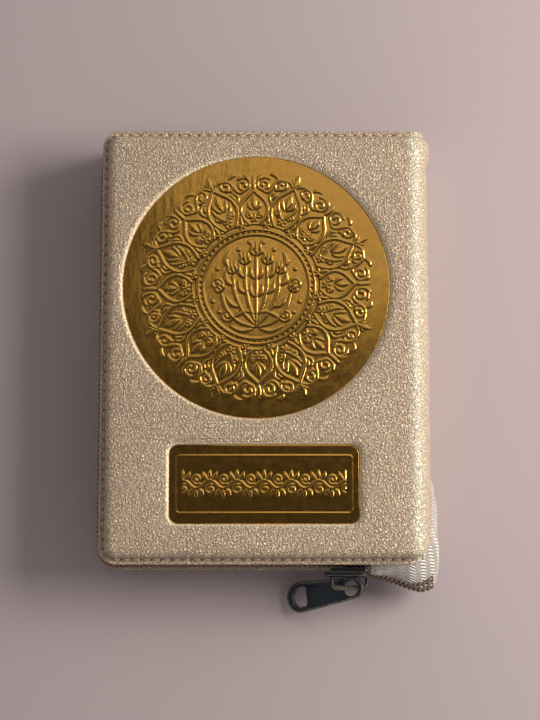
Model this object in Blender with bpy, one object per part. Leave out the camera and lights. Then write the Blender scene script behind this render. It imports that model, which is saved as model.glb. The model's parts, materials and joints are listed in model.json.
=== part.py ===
"""Zip-around prayer book, closed and lying on its back cover.

The origin is the centre of the back cover's outer face. +X points to the spine, +Y to the head
of the book and +Z up through the front cover. Lengths below are in millimetres.
"""
import math

import bmesh
import bpy
from mathutils import Vector

MM = 0.001
GAP = 0.3  # clearance between touching pieces

# Case: both covers share one outline, square at the spine and rounded at the fore-edge
CASE_WIDTH = 102.0
CASE_HEIGHT = 138.0
CASE_THICKNESS = 27.0
CORNER_RADIUS = 5.5
CORNER_STEPS = 7
SPINE_CORNER_RADIUS = 0.6
FORE_X = -CASE_WIDTH / 2

# Cover hinges: rolled leather beads along the spine's two long edges
HINGE_RADIUS = 1.5
HINGE_X = CASE_WIDTH / 2 - HINGE_RADIUS
HINGE_HALF_LENGTH = 67.3
BACK_HINGE_Z = HINGE_RADIUS
FRONT_HINGE_Z = CASE_THICKNESS - HINGE_RADIUS
BEAD_STEPS = 24

# Cover sections, as (inset from the outline, height below the cover's outer face)
SKIN_THICKNESS = 1.0
FLANGE_TOP = 3.3
FLANGE_THICKNESS = 1.0
FLANGE_WIDTH = 1.6
WALL_INNER_INSET = 2.9
FLANGE_SPINE_X = 47.8
FLANGE_STEP = 0.1  # the flange's inner line runs this much further towards the spine
WALL_INNER_X = 47.2
PADDED_EDGE = (  # (inset beyond the flange, depth, distance from the hinge axis)
    (0.1, 2.85, 0.2),
    (0.2, 1.1, 0.2),
    (0.8, 0.3, 0.1),
    (1.8, 0.0, 0.0),
)
PAD_THICKNESS = 1.2
BOARD_THICKNESS = 1.5
BOARD_INSET = 3.2
BOARD_SPINE_X = 46.9
LINING_INSET = 1.9
LINING_THICKNESS = 0.4
ENDPAPER_THICKNESS = 0.2

# Book block: three packets of leaves
LEAF_FORE_X = -47.0
LEAF_SPINE_X = 46.5
LEAF_HALF_HEIGHT = 63.5
LEAF_CORNER = 3.0
BLOCK_BOTTOM = 6.5
BLOCK_TOP = 20.5
PACKET_GAP = 0.35
PACKETS = ("back_pages", "middle_pages", "front_pages")

# Spine
SPINE_OUTER_X = 50.8
SPINE_SKIN_THICKNESS = 1.0
SPINE_STIFFENER_THICKNESS = 0.6
SPINE_LINING_THICKNESS = 0.3
SPINE_CLEARANCE = 1.9  # from a hinge axis to the spine's edge
SPINE_TRIM = 0.3  # the inner layers are this much smaller all round
SPINE_EDGE_RADIUS = 0.4

# Foil medallion and name plate, sunk in windows of the front cover
MEDALLION_CENTRE = (-2.2, 18.0)
MEDALLION_RADIUS = 41.9
MEDALLION_STEPS = 72
PLATE_CENTRE = (0.3, -44.4)
PLATE_SIZE = (58.8, 24.6)
PLATE_CORNER = 2.8
INSERT_BOTTOM = 24.5
INSERT_FACE = 25.9
RELIEF_HEIGHT = 0.3
INNER_RINGS = (18.3, 16.7)  # radii of the two raised rings
RING_HALF_WIDTH = 0.45
MEDALLION_CHAMFER = 0.3
INSERT_BEVEL = 0.2
PLATE_LINE_INSET = 2.0
PLATE_LINE_STEP = 0.3  # each of the raised frame line's slopes, and its crest
PLATE_LEAST_CORNER = 0.4
WINDOW_CUT = (20.0, 30.0)  # levels between which the windows are cut

# Zip: two tapes sewn into the covers, each with a coil along its edge
ZIP_MID_Z = 13.2
ZIP_TAPE_INSET = 0.8
ZIP_TAPE_THICKNESS = 0.7
ZIP_SEAM_INSET = 5.0
ZIP_SEAM_THICKNESS = 0.4
ZIP_TAPE_TO_MID = 0.9
ZIP_HEAD_END_X = 45.5
ZIP_FOOT_END_X = 34.0
COIL_INSET = -0.35
COIL_HALF_THICKNESS = 0.85
COIL_HALF_HEIGHT = 1.25
COIL_TO_MID = 0.5
COIL_SIDES = 8

# Slider, near the zip's closed end on the foot edge
SLIDER_X = (19.1, 33.0)
SLIDER_OUTER_Y = (-71.5, -70.5)
SLIDER_INNER_Y = (-67.2, -66.2)
SLIDER_HALF_HEIGHT = 4.0
SLIDER_TAIL_HALF_HEIGHT = 3.3
SLIDER_INNER_TRIM = 0.6  # the inner wing is this much lower on each side
SLIDER_NOSE = 1.2
WEB_THICKNESS = 0.5
WEB_OVERLAP = 0.3  # how far the web reaches into each wing
WEB_X = (25.5, 32.0)
BAIL_LEG_X = (21.4, 32.3)
BAIL_CROWN_Y = -75.5
BAIL_WIDTH = 1.0
BAIL_HEIGHT = 1.2
BAIL_BEND = 0.9

# Pull tab, threaded on the bail's crown and sloping down to the fore-edge
TAB_PIVOT = Vector((27.4, BAIL_CROWN_Y, ZIP_MID_Z))
TAB_SLOPE = math.radians(31.0)
TAB_TURN = math.radians(6.5)
TAB_FAR = 23.2
TAB_NEAR = 4.35
TAB_FAR_HALF_WIDTH = 5.0
TAB_NEAR_HALF_WIDTH = 3.35
TAB_THICKNESS = 1.0
TAB_HOLE_HALF_LENGTH = 2.7
TAB_HOLE_HALF_WIDTH = 2.45
TAB_SLOT = (15.9, 20.9)  # start and end of the slot along the tab
TAB_SLOT_HALF_WIDTH = 3.4
TAB_SLOT_BEVEL = 0.6
TAB_SLOT_ROUND = 1.6
TAB_NEAR_ROUND = 2.6
TAB_FAR_ROUND = 3.6
TAB_FAR_SWEEP = 85.0  # degrees of each far corner; the sides lean in towards the near end
TAB_HOLE_STEPS = 20

# Zip tail: the tape's loose end, as (upper edge, lower edge) stations round the foot of the spine
TAIL_THICKNESS = 0.7
TAIL_CHAIN_HALF = 0.7  # half of the loose chain's width and height
TAIL_FOOT_STATIONS = (
    ((34.4, -69.9, 16.6), (34.4, -70.2, 9.6)),
    ((37.5, -69.8, 18.0), (37.5, -71.2, 8.9)),
    ((41.0, -69.8, 18.8), (41.0, -72.6, 8.2)),
    ((45.0, -69.8, 19.3), (45.0, -74.4, 7.4)),
    ((48.4, -69.8, 19.6), (48.4, -75.7, 6.8)),
    ((50.3, -69.8, 19.8), (50.6, -76.1, 6.6)),
)
TAIL_SPINE_STATIONS = (
    ((50.8, -69.8, 19.8), (51.1, -76.1, 6.6)),
    ((51.8, -69.6, 19.8), (53.6, -75.0, 6.6)),
    ((52.4, -68.9, 19.8), (55.6, -72.8, 6.6)),
    ((52.6, -67.8, 19.8), (56.3, -70.0, 6.6)),
    ((52.3, -65.0, 19.6), (55.6, -66.2, 6.8)),
    ((51.9, -61.0, 19.4), (54.0, -61.4, 7.2)),
    ((51.7, -56.0, 19.0), (52.6, -56.2, 7.6)),
    ((51.6, -51.0, 18.6), (51.9, -51.0, 8.0)),
)

# Finishes: colour, roughness, metallic
FINISHES = {
    "cover_leather": ((0.36, 0.29, 0.24), 0.42, 0.15),
    "grey_board": ((0.32, 0.30, 0.27), 0.90, 0.0),
    "foam": ((0.80, 0.78, 0.72), 0.95, 0.0),
    "lining_cloth": ((0.30, 0.25, 0.21), 0.85, 0.0),
    "gold_foil": ((0.62, 0.38, 0.08), 0.18, 1.0),
    "endpaper": ((0.82, 0.80, 0.74), 0.80, 0.0),
    "leaf_paper": ((0.86, 0.83, 0.75), 0.85, 0.0),
    "zip_tape": ((0.66, 0.58, 0.53), 0.80, 0.0),
    "zip_coil": ((0.12, 0.07, 0.05), 0.45, 0.0),
    "slider_paint": ((0.03, 0.03, 0.03), 0.35, 0.6),
    "tab_paint": ((0.015, 0.02, 0.028), 0.32, 0.5),
}


def finish(name):
    """Return the material of that name, made on first use."""
    material = bpy.data.materials.get(name)
    if material is None:
        colour, roughness, metallic = FINISHES[name]
        material = bpy.data.materials.new(name)
        material.use_nodes = True
        shader = material.node_tree.nodes["Principled BSDF"]
        shader.inputs["Base Color"].default_value = (*colour, 1.0)
        shader.inputs["Roughness"].default_value = roughness
        shader.inputs["Metallic"].default_value = metallic
    return material


def add_hinge(name, position, parent=None):
    """Add an empty on a joint's axis, which carries the pieces of one moving body."""
    empty = bpy.data.objects.new(name, None)
    empty.empty_display_size = 5 * MM
    bpy.context.collection.objects.link(empty)
    empty.location = Vector(position) * MM
    if parent is not None:
        empty.parent = parent
        empty.location -= world_place(parent)
    return empty


def world_place(obj):
    """Return an object's place in the world, in metres, from its chain of parents."""
    place = Vector(obj.location)
    if obj.parent is not None:
        place += world_place(obj.parent)
    return place


def add_piece(name, bm, material, carrier=None, smooth=False):
    """Turn a bmesh drawn in world millimetres into a named object under its carrier."""
    bmesh.ops.recalc_face_normals(bm, faces=bm.faces[:])
    bmesh.ops.scale(bm, vec=(MM, MM, MM), verts=bm.verts[:])
    if carrier is not None:
        bmesh.ops.translate(bm, vec=-world_place(carrier), verts=bm.verts[:])
    mesh = bpy.data.meshes.new(name)
    bm.to_mesh(mesh)
    bm.free()
    mesh.materials.append(finish(material))
    obj = bpy.data.objects.new(name, mesh)
    bpy.context.collection.objects.link(obj)
    obj.parent = carrier
    if smooth:
        mesh.shade_smooth()
        mesh.set_sharp_from_angle(angle=math.radians(35.0))
    return obj


def loft(rings, closed=False):
    """Bridge rings of equal length, and cap the first and last unless the loft is closed."""
    bm = bmesh.new()
    loops = [[bm.verts.new(point) for point in ring] for ring in rings]
    pairs = list(zip(loops, loops[1:]))
    if closed:
        pairs.append((loops[-1], loops[0]))
    for lower, upper in pairs:
        count = len(lower)
        for i in range(count):
            j = (i + 1) % count
            bm.faces.new((lower[i], lower[j], upper[j], upper[i]))
    if not closed:
        bm.faces.new(loops[0])
        bm.faces.new(loops[-1])
    return bm


def arc(centre, radius, start, end, steps):
    """Return points on an arc between two angles in degrees."""
    points = []
    for i in range(steps + 1):
        angle = math.radians(start + (end - start) * i / steps)
        points.append((centre[0] + radius * math.cos(angle), centre[1] + radius * math.sin(angle)))
    return points


def case_edge(inset, spine_x):
    """Return the outline from the spine along the foot, fore-edge and head, without the spine side."""
    radius = max(CORNER_RADIUS - inset, SPINE_CORNER_RADIUS)
    left = FORE_X + inset + radius
    top = CASE_HEIGHT / 2 - inset
    edge = [(spine_x, -top)]
    edge += arc((left, -top + radius), radius, 270.0, 180.0, CORNER_STEPS)
    edge += arc((left, top - radius), radius, 180.0, 90.0, CORNER_STEPS)
    edge.append((spine_x, top))
    return edge


def rounded_rect(centre, size, radius, steps=5):
    """Return a closed rounded rectangle in the XY plane."""
    half_x = size[0] / 2 - radius
    half_y = size[1] / 2 - radius
    points = []
    for sign_x, sign_y, start in ((1, 1, 0.0), (-1, 1, 90.0), (-1, -1, 180.0), (1, -1, 270.0)):
        corner = (centre[0] + sign_x * half_x, centre[1] + sign_y * half_y)
        points += arc(corner, radius, start, start + 90.0, steps)
    return points


def at_height(points, z):
    """Lift flat points to a height."""
    return [(x, y, z) for x, y in points]


def panel(name, inset, spine_x, low, high, material, carrier=None):
    """Add a flat panel with the case's outline, set in by a distance."""
    edge = case_edge(inset, spine_x)
    return add_piece(name, loft([at_height(edge, low), at_height(edge, high)]), material, carrier)


def strip_round_case(name, section, material, carrier=None, smooth=False):
    """Sweep a section of (inset, height) points along the foot, fore-edge and head."""
    edges = [case_edge(inset, ZIP_HEAD_END_X) for inset, _ in section]
    for edge in edges:
        edge[0] = (ZIP_FOOT_END_X, edge[0][1])
    rings = []
    for station in range(len(edges[0])):
        rings.append([(*edge[station], height) for edge, (_, height) in zip(edges, section)])
    return add_piece(name, loft(rings), material, carrier, smooth)


def hide_tool(obj):
    """Mark an object as a cutter that isn't part of the model."""
    obj.hide_render = True
    obj.display_type = "WIRE"


def combine(obj, tool, operation):
    """Join or cut a piece with a hidden tool object."""
    hide_tool(tool)
    modifier = obj.modifiers.new(tool.name, "BOOLEAN")
    modifier.operation = operation
    modifier.solver = "EXACT"
    modifier.object = tool


def cover_skin(name, outward, carrier=None):
    """Add a cover's leather: a boxed panel, a sewing flange round three sides and a hinge bead."""
    def height(depth):
        return CASE_THICKNESS - depth if outward > 0 else depth

    flange_low = FLANGE_TOP + FLANGE_THICKNESS
    bevel = GAP
    section = (
        (WALL_INNER_INSET, SKIN_THICKNESS, WALL_INNER_X),
        (WALL_INNER_INSET, flange_low, WALL_INNER_X),
        (bevel, flange_low, FLANGE_SPINE_X),
        (0.0, flange_low - bevel, FLANGE_SPINE_X),
        (0.0, FLANGE_TOP + bevel, FLANGE_SPINE_X),
        (bevel, FLANGE_TOP, FLANGE_SPINE_X),
        (FLANGE_WIDTH, FLANGE_TOP, FLANGE_SPINE_X + FLANGE_STEP),
    ) + tuple((FLANGE_WIDTH + inset, depth, HINGE_X - back) for inset, depth, back in PADDED_EDGE)
    rings = [at_height(case_edge(inset, spine_x), height(depth)) for inset, depth, spine_x in section]
    skin = add_piece(name, loft(rings), "cover_leather", carrier, smooth=True)
    bead_rings = []
    for y in (-HINGE_HALF_LENGTH, HINGE_HALF_LENGTH):
        circle = arc((HINGE_X, height(HINGE_RADIUS)), HINGE_RADIUS, 0.0, 360.0, BEAD_STEPS)[:-1]
        bead_rings.append([(x, y, z) for x, z in circle])
    bead = add_piece(name + "_bead_tool", loft(bead_rings), "cover_leather", carrier, smooth=True)
    combine(skin, bead, "UNION")
    return skin


def cut_windows(obj, low, high, carrier):
    """Cut the medallion's and the name plate's windows through a piece of the front cover."""
    circle = arc(MEDALLION_CENTRE, MEDALLION_RADIUS + GAP, 0.0, 360.0, MEDALLION_STEPS)[:-1]
    size = (PLATE_SIZE[0] + 2 * GAP, PLATE_SIZE[1] + 2 * GAP)
    rect = rounded_rect(PLATE_CENTRE, size, PLATE_CORNER + GAP)
    for label, outline in (("round", circle), ("plate", rect)):
        rings = [at_height(outline, low), at_height(outline, high)]
        tool = add_piece(obj.name + "_" + label + "_tool", loft(rings), "foam", carrier)
        combine(obj, tool, "DIFFERENCE")


def build_covers(front):
    """Add the two covers: leather, pad, board, lining and endpaper."""
    cover_skin("back_skin", -1)
    front_skin = cover_skin("front_skin", 1, front)
    cut_windows(front_skin, *WINDOW_CUT, front)

    pad_top = CASE_THICKNESS - SKIN_THICKNESS - GAP
    pad = panel("front_pad", BOARD_INSET, BOARD_SPINE_X, pad_top - PAD_THICKNESS, pad_top, "foam", front)
    cut_windows(pad, *WINDOW_CUT, front)

    board_top = pad_top - PAD_THICKNESS - GAP
    panel("front_board", BOARD_INSET, BOARD_SPINE_X, board_top - BOARD_THICKNESS, board_top,
          "grey_board", front)
    board_low = SKIN_THICKNESS + GAP
    panel("back_board", BOARD_INSET, BOARD_SPINE_X, board_low, board_low + BOARD_THICKNESS, "grey_board")

    seam = FLANGE_TOP + FLANGE_THICKNESS + GAP + ZIP_SEAM_THICKNESS
    lining = seam + GAP
    endpaper = lining + LINING_THICKNESS + GAP
    top = CASE_THICKNESS
    panel("back_lining", LINING_INSET, BOARD_SPINE_X, lining, lining + LINING_THICKNESS, "lining_cloth")
    panel("front_lining", LINING_INSET, BOARD_SPINE_X, top - lining - LINING_THICKNESS, top - lining,
          "lining_cloth", front)
    leaf = LEAF_FORE_X - FORE_X
    panel("back_endpaper", leaf, LEAF_SPINE_X, endpaper, endpaper + ENDPAPER_THICKNESS, "endpaper")
    panel("front_endpaper", leaf, LEAF_SPINE_X, top - endpaper - ENDPAPER_THICKNESS, top - endpaper,
          "endpaper", front)


def packet_span(index):
    """Return the lowest and highest level of one packet of leaves."""
    count = len(PACKETS)
    thickness = (BLOCK_TOP - BLOCK_BOTTOM - PACKET_GAP * (count - 1)) / count
    low = BLOCK_BOTTOM + index * (thickness + PACKET_GAP)
    return low, low + thickness


def build_pages():
    """Add the packets of leaves; the upper ones turn on their upper edge at the spine."""
    size = (LEAF_SPINE_X - LEAF_FORE_X, 2 * LEAF_HALF_HEIGHT)
    outline = rounded_rect(((LEAF_SPINE_X + LEAF_FORE_X) / 2, 0.0), size, LEAF_CORNER, 4)
    for index, name in enumerate(PACKETS):
        low, high = packet_span(index)
        carrier = None
        if index > 0:
            carrier = add_hinge(name + "_axis", (LEAF_SPINE_X, 0.0, high))
        add_piece(name, loft([at_height(outline, low), at_height(outline, high)]), "leaf_paper", carrier)


def build_spine(spine):
    """Add the spine's leather, stiffener and lining between the two hinge beads."""
    low = BACK_HINGE_Z + SPINE_CLEARANCE
    high = FRONT_HINGE_Z - SPINE_CLEARANCE
    outer = SPINE_OUTER_X
    layers = (
        ("spine_skin", SPINE_SKIN_THICKNESS, "cover_leather", 0.0),
        ("spine_stiffener", SPINE_STIFFENER_THICKNESS, "grey_board", SPINE_TRIM),
        ("spine_lining", SPINE_LINING_THICKNESS, "lining_cloth", SPINE_TRIM),
    )
    for name, thickness, material, trim in layers:
        size = (2 * (HINGE_HALF_LENGTH - trim), high - low - 2 * trim)
        rect = rounded_rect((0.0, (low + high) / 2), size, SPINE_EDGE_RADIUS, 2)
        rings = [[(x, y, z) for y, z in rect] for x in (outer - thickness, outer)]
        add_piece(name, loft(rings), material, spine)
        outer -= thickness + GAP


def ring_profile(radii, base, crest):
    """Return (radius, height) points of raised rings, from the outermost ring inwards."""
    points = []
    for radius in radii:
        points += [(radius + RING_HALF_WIDTH, base), (radius + RING_HALF_WIDTH / 3, crest),
                   (radius - RING_HALF_WIDTH / 3, crest), (radius - RING_HALF_WIDTH, base)]
    return points


def build_inserts(front):
    """Add the round medallion and the name plate under the front cover's windows."""
    crest = INSERT_FACE + RELIEF_HEIGHT
    rim = MEDALLION_RADIUS
    shoulder = INSERT_FACE - INSERT_BEVEL
    profile = [(rim, INSERT_BOTTOM), (rim, shoulder), (rim - MEDALLION_CHAMFER, INSERT_FACE)]
    profile += ring_profile(INNER_RINGS, INSERT_FACE, crest)
    rings = [at_height(arc(MEDALLION_CENTRE, r, 0.0, 360.0, MEDALLION_STEPS)[:-1], z) for r, z in profile]
    add_piece("medallion", loft(rings), "gold_foil", front, smooth=True)

    line, step = PLATE_LINE_INSET, PLATE_LINE_STEP
    levels = ((0.0, INSERT_BOTTOM), (0.0, shoulder), (INSERT_BEVEL, INSERT_FACE),
              (line, INSERT_FACE), (line + step, crest),
              (line + 2 * step, crest), (line + 3 * step, INSERT_FACE))
    rings = []
    for inset, z in levels:
        size = (PLATE_SIZE[0] - 2 * inset, PLATE_SIZE[1] - 2 * inset)
        corner = max(PLATE_CORNER - inset, PLATE_LEAST_CORNER)
        rings.append(at_height(rounded_rect(PLATE_CENTRE, size, corner), z))
    add_piece("name_plate", loft(rings), "gold_foil", front)


def build_zip(front):
    """Add both zip tapes and both coils round the foot, fore-edge and head."""
    seam_low = FLANGE_TOP + FLANGE_THICKNESS + GAP
    seam_high = seam_low + ZIP_SEAM_THICKNESS
    tape_inner = ZIP_TAPE_INSET + ZIP_TAPE_THICKNESS
    halves = (
        ("lower", 1.0, 0.0, None),
        ("upper", -1.0, CASE_THICKNESS, front),
    )
    for label, up, start, carrier in halves:
        edge = ZIP_MID_Z - up * ZIP_TAPE_TO_MID
        tape = (
            (ZIP_TAPE_INSET, edge),
            (ZIP_TAPE_INSET, start + up * seam_low),
            (ZIP_SEAM_INSET, start + up * seam_low),
            (ZIP_SEAM_INSET, start + up * seam_high),
            (tape_inner, start + up * seam_high),
            (tape_inner, edge),
        )
        strip_round_case(label + "_zip_tape", tape, "zip_tape", carrier)
        centre = ZIP_MID_Z - up * (COIL_TO_MID + COIL_HALF_HEIGHT)
        coil = []
        half_side = math.pi / COIL_SIDES
        bulge = 1.0 / math.cos(half_side)
        for step in range(COIL_SIDES):
            angle = half_side * (1 + 2 * step)
            coil.append((COIL_INSET + COIL_HALF_THICKNESS * math.cos(angle) * bulge,
                         centre + COIL_HALF_HEIGHT * math.sin(angle) * bulge))
        strip_round_case(label + "_zip_coil", coil, "zip_coil", carrier, smooth=True)


def plate_outline(x_range, tail_half, head_half):
    """Return a slider wing in the XZ plane, narrow at its tail and full at its mouth."""
    tail, mouth = x_range
    middle = ZIP_MID_Z
    nose = SLIDER_NOSE
    return [(tail, middle - tail_half + nose), (tail + nose, middle - tail_half),
            (mouth - 2 * nose, middle - head_half), (mouth, middle - head_half + nose),
            (mouth, middle + head_half - nose), (mouth - 2 * nose, middle + head_half),
            (tail + nose, middle + tail_half), (tail, middle + tail_half - nose)]


def build_slider(slider):
    """Add the slider body, two wings joined by a web, and the bail on its outer wing."""
    outer = plate_outline(SLIDER_X, SLIDER_TAIL_HALF_HEIGHT, SLIDER_HALF_HEIGHT)
    inner = plate_outline(SLIDER_X, SLIDER_TAIL_HALF_HEIGHT - SLIDER_INNER_TRIM,
                          SLIDER_HALF_HEIGHT - SLIDER_INNER_TRIM)
    web_low = ZIP_MID_Z - WEB_THICKNESS / 2
    web_high = ZIP_MID_Z + WEB_THICKNESS / 2
    web = [(WEB_X[0], web_low), (WEB_X[1], web_low), (WEB_X[1], web_high), (WEB_X[0], web_high)]
    middle_y = (SLIDER_OUTER_Y[1] - WEB_OVERLAP, SLIDER_INNER_Y[0] + WEB_OVERLAP)

    def wing(name, outline, y_range):
        rings = [[(x, y, z) for x, z in outline] for y in y_range]
        return add_piece(name, loft(rings), "slider_paint", slider)

    body = wing("slider_body", outer, SLIDER_OUTER_Y)
    combine(body, wing("slider_web_tool", web, middle_y), "UNION")
    combine(body, wing("slider_inner_tool", inner, SLIDER_INNER_Y), "UNION")

    foot_y = SLIDER_OUTER_Y[0] - GAP
    low, high = ZIP_MID_Z - BAIL_HEIGHT / 2, ZIP_MID_Z + BAIL_HEIGHT / 2
    half = BAIL_WIDTH / 2
    bend = BAIL_BEND
    outline = [(BAIL_LEG_X[0] - half, foot_y)]
    outline += arc((BAIL_LEG_X[0] - half + bend, BAIL_CROWN_Y - half + bend), bend, 180.0, 270.0, 4)
    outline += arc((BAIL_LEG_X[1] + half - bend, BAIL_CROWN_Y - half + bend), bend, 270.0, 360.0, 4)
    outline += [(BAIL_LEG_X[1] + half, foot_y), (BAIL_LEG_X[1] - half, foot_y),
                (BAIL_LEG_X[1] - half, BAIL_CROWN_Y + half), (BAIL_LEG_X[0] + half, BAIL_CROWN_Y + half),
                (BAIL_LEG_X[0] + half, foot_y)]
    add_piece("slider_bail", loft([at_height(outline, low), at_height(outline, high)]),
              "slider_paint", slider)


def tab_point(along, across, up):
    """Place a point of the pull tab, measured from its pivot along, across and above its face."""
    turn_cos, turn_sin = math.cos(TAB_TURN), math.sin(TAB_TURN)
    slope_cos, slope_sin = math.cos(TAB_SLOPE), math.sin(TAB_SLOPE)
    length_way = Vector((-turn_cos * slope_cos, -turn_sin, -turn_cos * slope_sin))
    width_way = Vector((-turn_sin * slope_cos, turn_cos, -turn_sin * slope_sin))
    face_way = Vector((-slope_sin, 0.0, slope_cos))
    return TAB_PIVOT + length_way * along + width_way * across + face_way * up


def tab_prism(outline, half_thickness):
    """Extrude an outline of (along, across) points through the tab's thickness."""
    return loft([[tab_point(s, w, -half_thickness) for s, w in outline],
                 [tab_point(s, w, half_thickness) for s, w in outline]])


def build_pull_tab(tab):
    """Add the pull tab: a tapered plate with a hole for the bail and a slot at its far end."""
    near, far = TAB_NEAR_HALF_WIDTH, TAB_FAR_HALF_WIDTH
    near_round, far_round = TAB_NEAR_ROUND, TAB_FAR_ROUND
    outline = arc((-TAB_NEAR + near_round, near - near_round), near_round, 180.0, 90.0, 5)
    outline += arc((TAB_FAR - far_round, far - far_round), far_round, TAB_FAR_SWEEP, 0.0, 6)
    outline += arc((TAB_FAR - far_round, -far + far_round), far_round, 0.0, -TAB_FAR_SWEEP, 6)
    outline += arc((-TAB_NEAR + near_round, -near + near_round), near_round, -90.0, -180.0, 5)
    body = add_piece("pull_tab", tab_prism(outline, TAB_THICKNESS / 2), "tab_paint", tab)

    hole = []
    for step in range(TAB_HOLE_STEPS):
        angle = 2 * math.pi * step / TAB_HOLE_STEPS
        hole.append((TAB_HOLE_HALF_LENGTH * math.cos(angle), TAB_HOLE_HALF_WIDTH * math.sin(angle)))
    start, end = TAB_SLOT
    radius = TAB_SLOT_ROUND
    bevel = TAB_SLOT_BEVEL
    half = TAB_SLOT_HALF_WIDTH
    slot = [(start, -half + bevel), (start + bevel, -half)]
    slot += arc((end - radius, -half + radius), radius, 270.0, 360.0, 4)
    slot += arc((end - radius, half - radius), radius, 0.0, 90.0, 4)
    slot += [(start + bevel, half), (start, half - bevel)]
    for label, points in (("hole", hole), ("slot", slot)):
        tool = add_piece("pull_tab_" + label + "_tool", tab_prism(points, TAB_THICKNESS), "tab_paint", tab)
        combine(body, tool, "DIFFERENCE")


def ribbon(name, stations, material, carrier=None):
    """Add a band of even thickness through stations of (upper edge, lower edge) points."""
    uppers = [Vector(upper) for upper, _ in stations]
    lowers = [Vector(lower) for _, lower in stations]
    rings = []
    last = len(stations) - 1
    for i in range(len(stations)):
        before, after = max(i - 1, 0), min(i + 1, last)
        run = (uppers[after] + lowers[after]) - (uppers[before] + lowers[before])
        normal = run.cross(uppers[i] - lowers[i]).normalized() * (TAIL_THICKNESS / 2)
        rings.append([uppers[i] + normal, lowers[i] + normal, lowers[i] - normal, uppers[i] - normal])
    return add_piece(name, loft(rings), material, carrier)


def build_zip_tail(spine):
    """Add the zip's loose tape end, one half on the back cover and one on the spine."""
    ribbon("zip_tail_foot", TAIL_FOOT_STATIONS, "zip_tape")
    ribbon("zip_tail_spine", TAIL_SPINE_STATIONS, "zip_tape", spine)
    bead = []
    half = TAIL_CHAIN_HALF
    for _, (x, y, low) in TAIL_FOOT_STATIONS:
        z = low - half - 2 * GAP
        bead.append([(x, y - half, z - half), (x, y + half, z - half),
                     (x, y + half, z + half), (x, y - half, z + half)])
    add_piece("zip_tail_chain", loft(bead), "zip_coil")


def main():
    """Clear the scene and build the book."""
    for obj in list(bpy.data.objects):
        bpy.data.objects.remove(obj, do_unlink=True)
    spine = add_hinge("spine_axis", (HINGE_X, 0.0, BACK_HINGE_Z))
    front = add_hinge("cover_axis", (HINGE_X, 0.0, FRONT_HINGE_Z), spine)
    slider = add_hinge("slider_line", (sum(SLIDER_X) / 2, SLIDER_OUTER_Y[1], ZIP_MID_Z))
    tab = add_hinge("tab_axis", TAB_PIVOT, slider)
    build_covers(front)
    build_pages()
    build_spine(spine)
    build_inserts(front)
    build_zip(front)
    build_slider(slider)
    build_pull_tab(tab)
    build_zip_tail(spine)


main()
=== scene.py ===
"""Looks of a zip-around prayer book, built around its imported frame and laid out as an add-on."""

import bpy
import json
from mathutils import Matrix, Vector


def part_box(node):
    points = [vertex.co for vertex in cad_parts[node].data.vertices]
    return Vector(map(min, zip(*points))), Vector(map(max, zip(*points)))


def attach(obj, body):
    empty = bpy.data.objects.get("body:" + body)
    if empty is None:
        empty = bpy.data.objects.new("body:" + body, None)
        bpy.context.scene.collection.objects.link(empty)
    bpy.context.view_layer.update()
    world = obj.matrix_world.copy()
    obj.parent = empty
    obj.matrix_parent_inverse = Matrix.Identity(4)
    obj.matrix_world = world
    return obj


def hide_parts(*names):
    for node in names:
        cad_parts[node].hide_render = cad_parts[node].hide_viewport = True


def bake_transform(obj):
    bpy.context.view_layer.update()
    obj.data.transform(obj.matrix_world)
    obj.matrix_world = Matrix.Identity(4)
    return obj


bl_info = {
    "name": "Zip-Around Prayer Book",
    "version": (1, 0, 0),
    "blender": (4, 5, 0),
    "location": "View3D > Sidebar > Prayer Book",
    "description": "Builds the leather, foil, zip, leaves and stage of a zip-around prayer book",
    "category": "Object",
}

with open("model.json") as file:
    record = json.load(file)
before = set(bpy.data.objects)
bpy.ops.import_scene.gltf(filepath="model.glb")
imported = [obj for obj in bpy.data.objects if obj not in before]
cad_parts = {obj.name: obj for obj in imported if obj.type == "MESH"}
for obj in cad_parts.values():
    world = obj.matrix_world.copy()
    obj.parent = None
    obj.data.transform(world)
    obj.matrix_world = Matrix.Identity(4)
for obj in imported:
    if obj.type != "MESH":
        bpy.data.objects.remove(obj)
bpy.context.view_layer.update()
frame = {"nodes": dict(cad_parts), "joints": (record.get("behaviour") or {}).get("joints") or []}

import json
import math

import bmesh
import bpy
import numpy as np
from bpy.props import FloatProperty, FloatVectorProperty, IntProperty, PointerProperty
from mathutils import Vector, noise
from mathutils.geometry import delaunay_2d_cdt

MM = 0.001


# ---------------------------------------------------------------- places read from the frame, in mm

def box_mm(node):
    """Return a node's lowest and highest corners in millimetres."""
    low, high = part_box(node)
    return Vector(low) / MM, Vector(high) / MM


SKIN_LOW, SKIN_HIGH = box_mm("front_skin")
TOP_Z = SKIN_HIGH.z
MIDDLE_Z = TOP_Z / 2
FORE_X = SKIN_LOW.x
SPINE_X = SKIN_HIGH.x
HALF_HEIGHT = SKIN_HIGH.y
FLANGE_LOW = TOP_Z - SKIN_LOW.z
MEDAL_LOW, MEDAL_HIGH = box_mm("medallion")
MEDAL_CENTRE = (MEDAL_LOW + MEDAL_HIGH) / 2
MEDAL_RADIUS = (MEDAL_HIGH.x - MEDAL_LOW.x) / 2
PLATE_LOW, PLATE_HIGH = box_mm("name_plate")
PLATE_CENTRE = (PLATE_LOW + PLATE_HIGH) / 2
PLATE_SIZE = PLATE_HIGH - PLATE_LOW
JOINTS = {joint["name"]: joint for joint in frame["joints"]}

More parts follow.
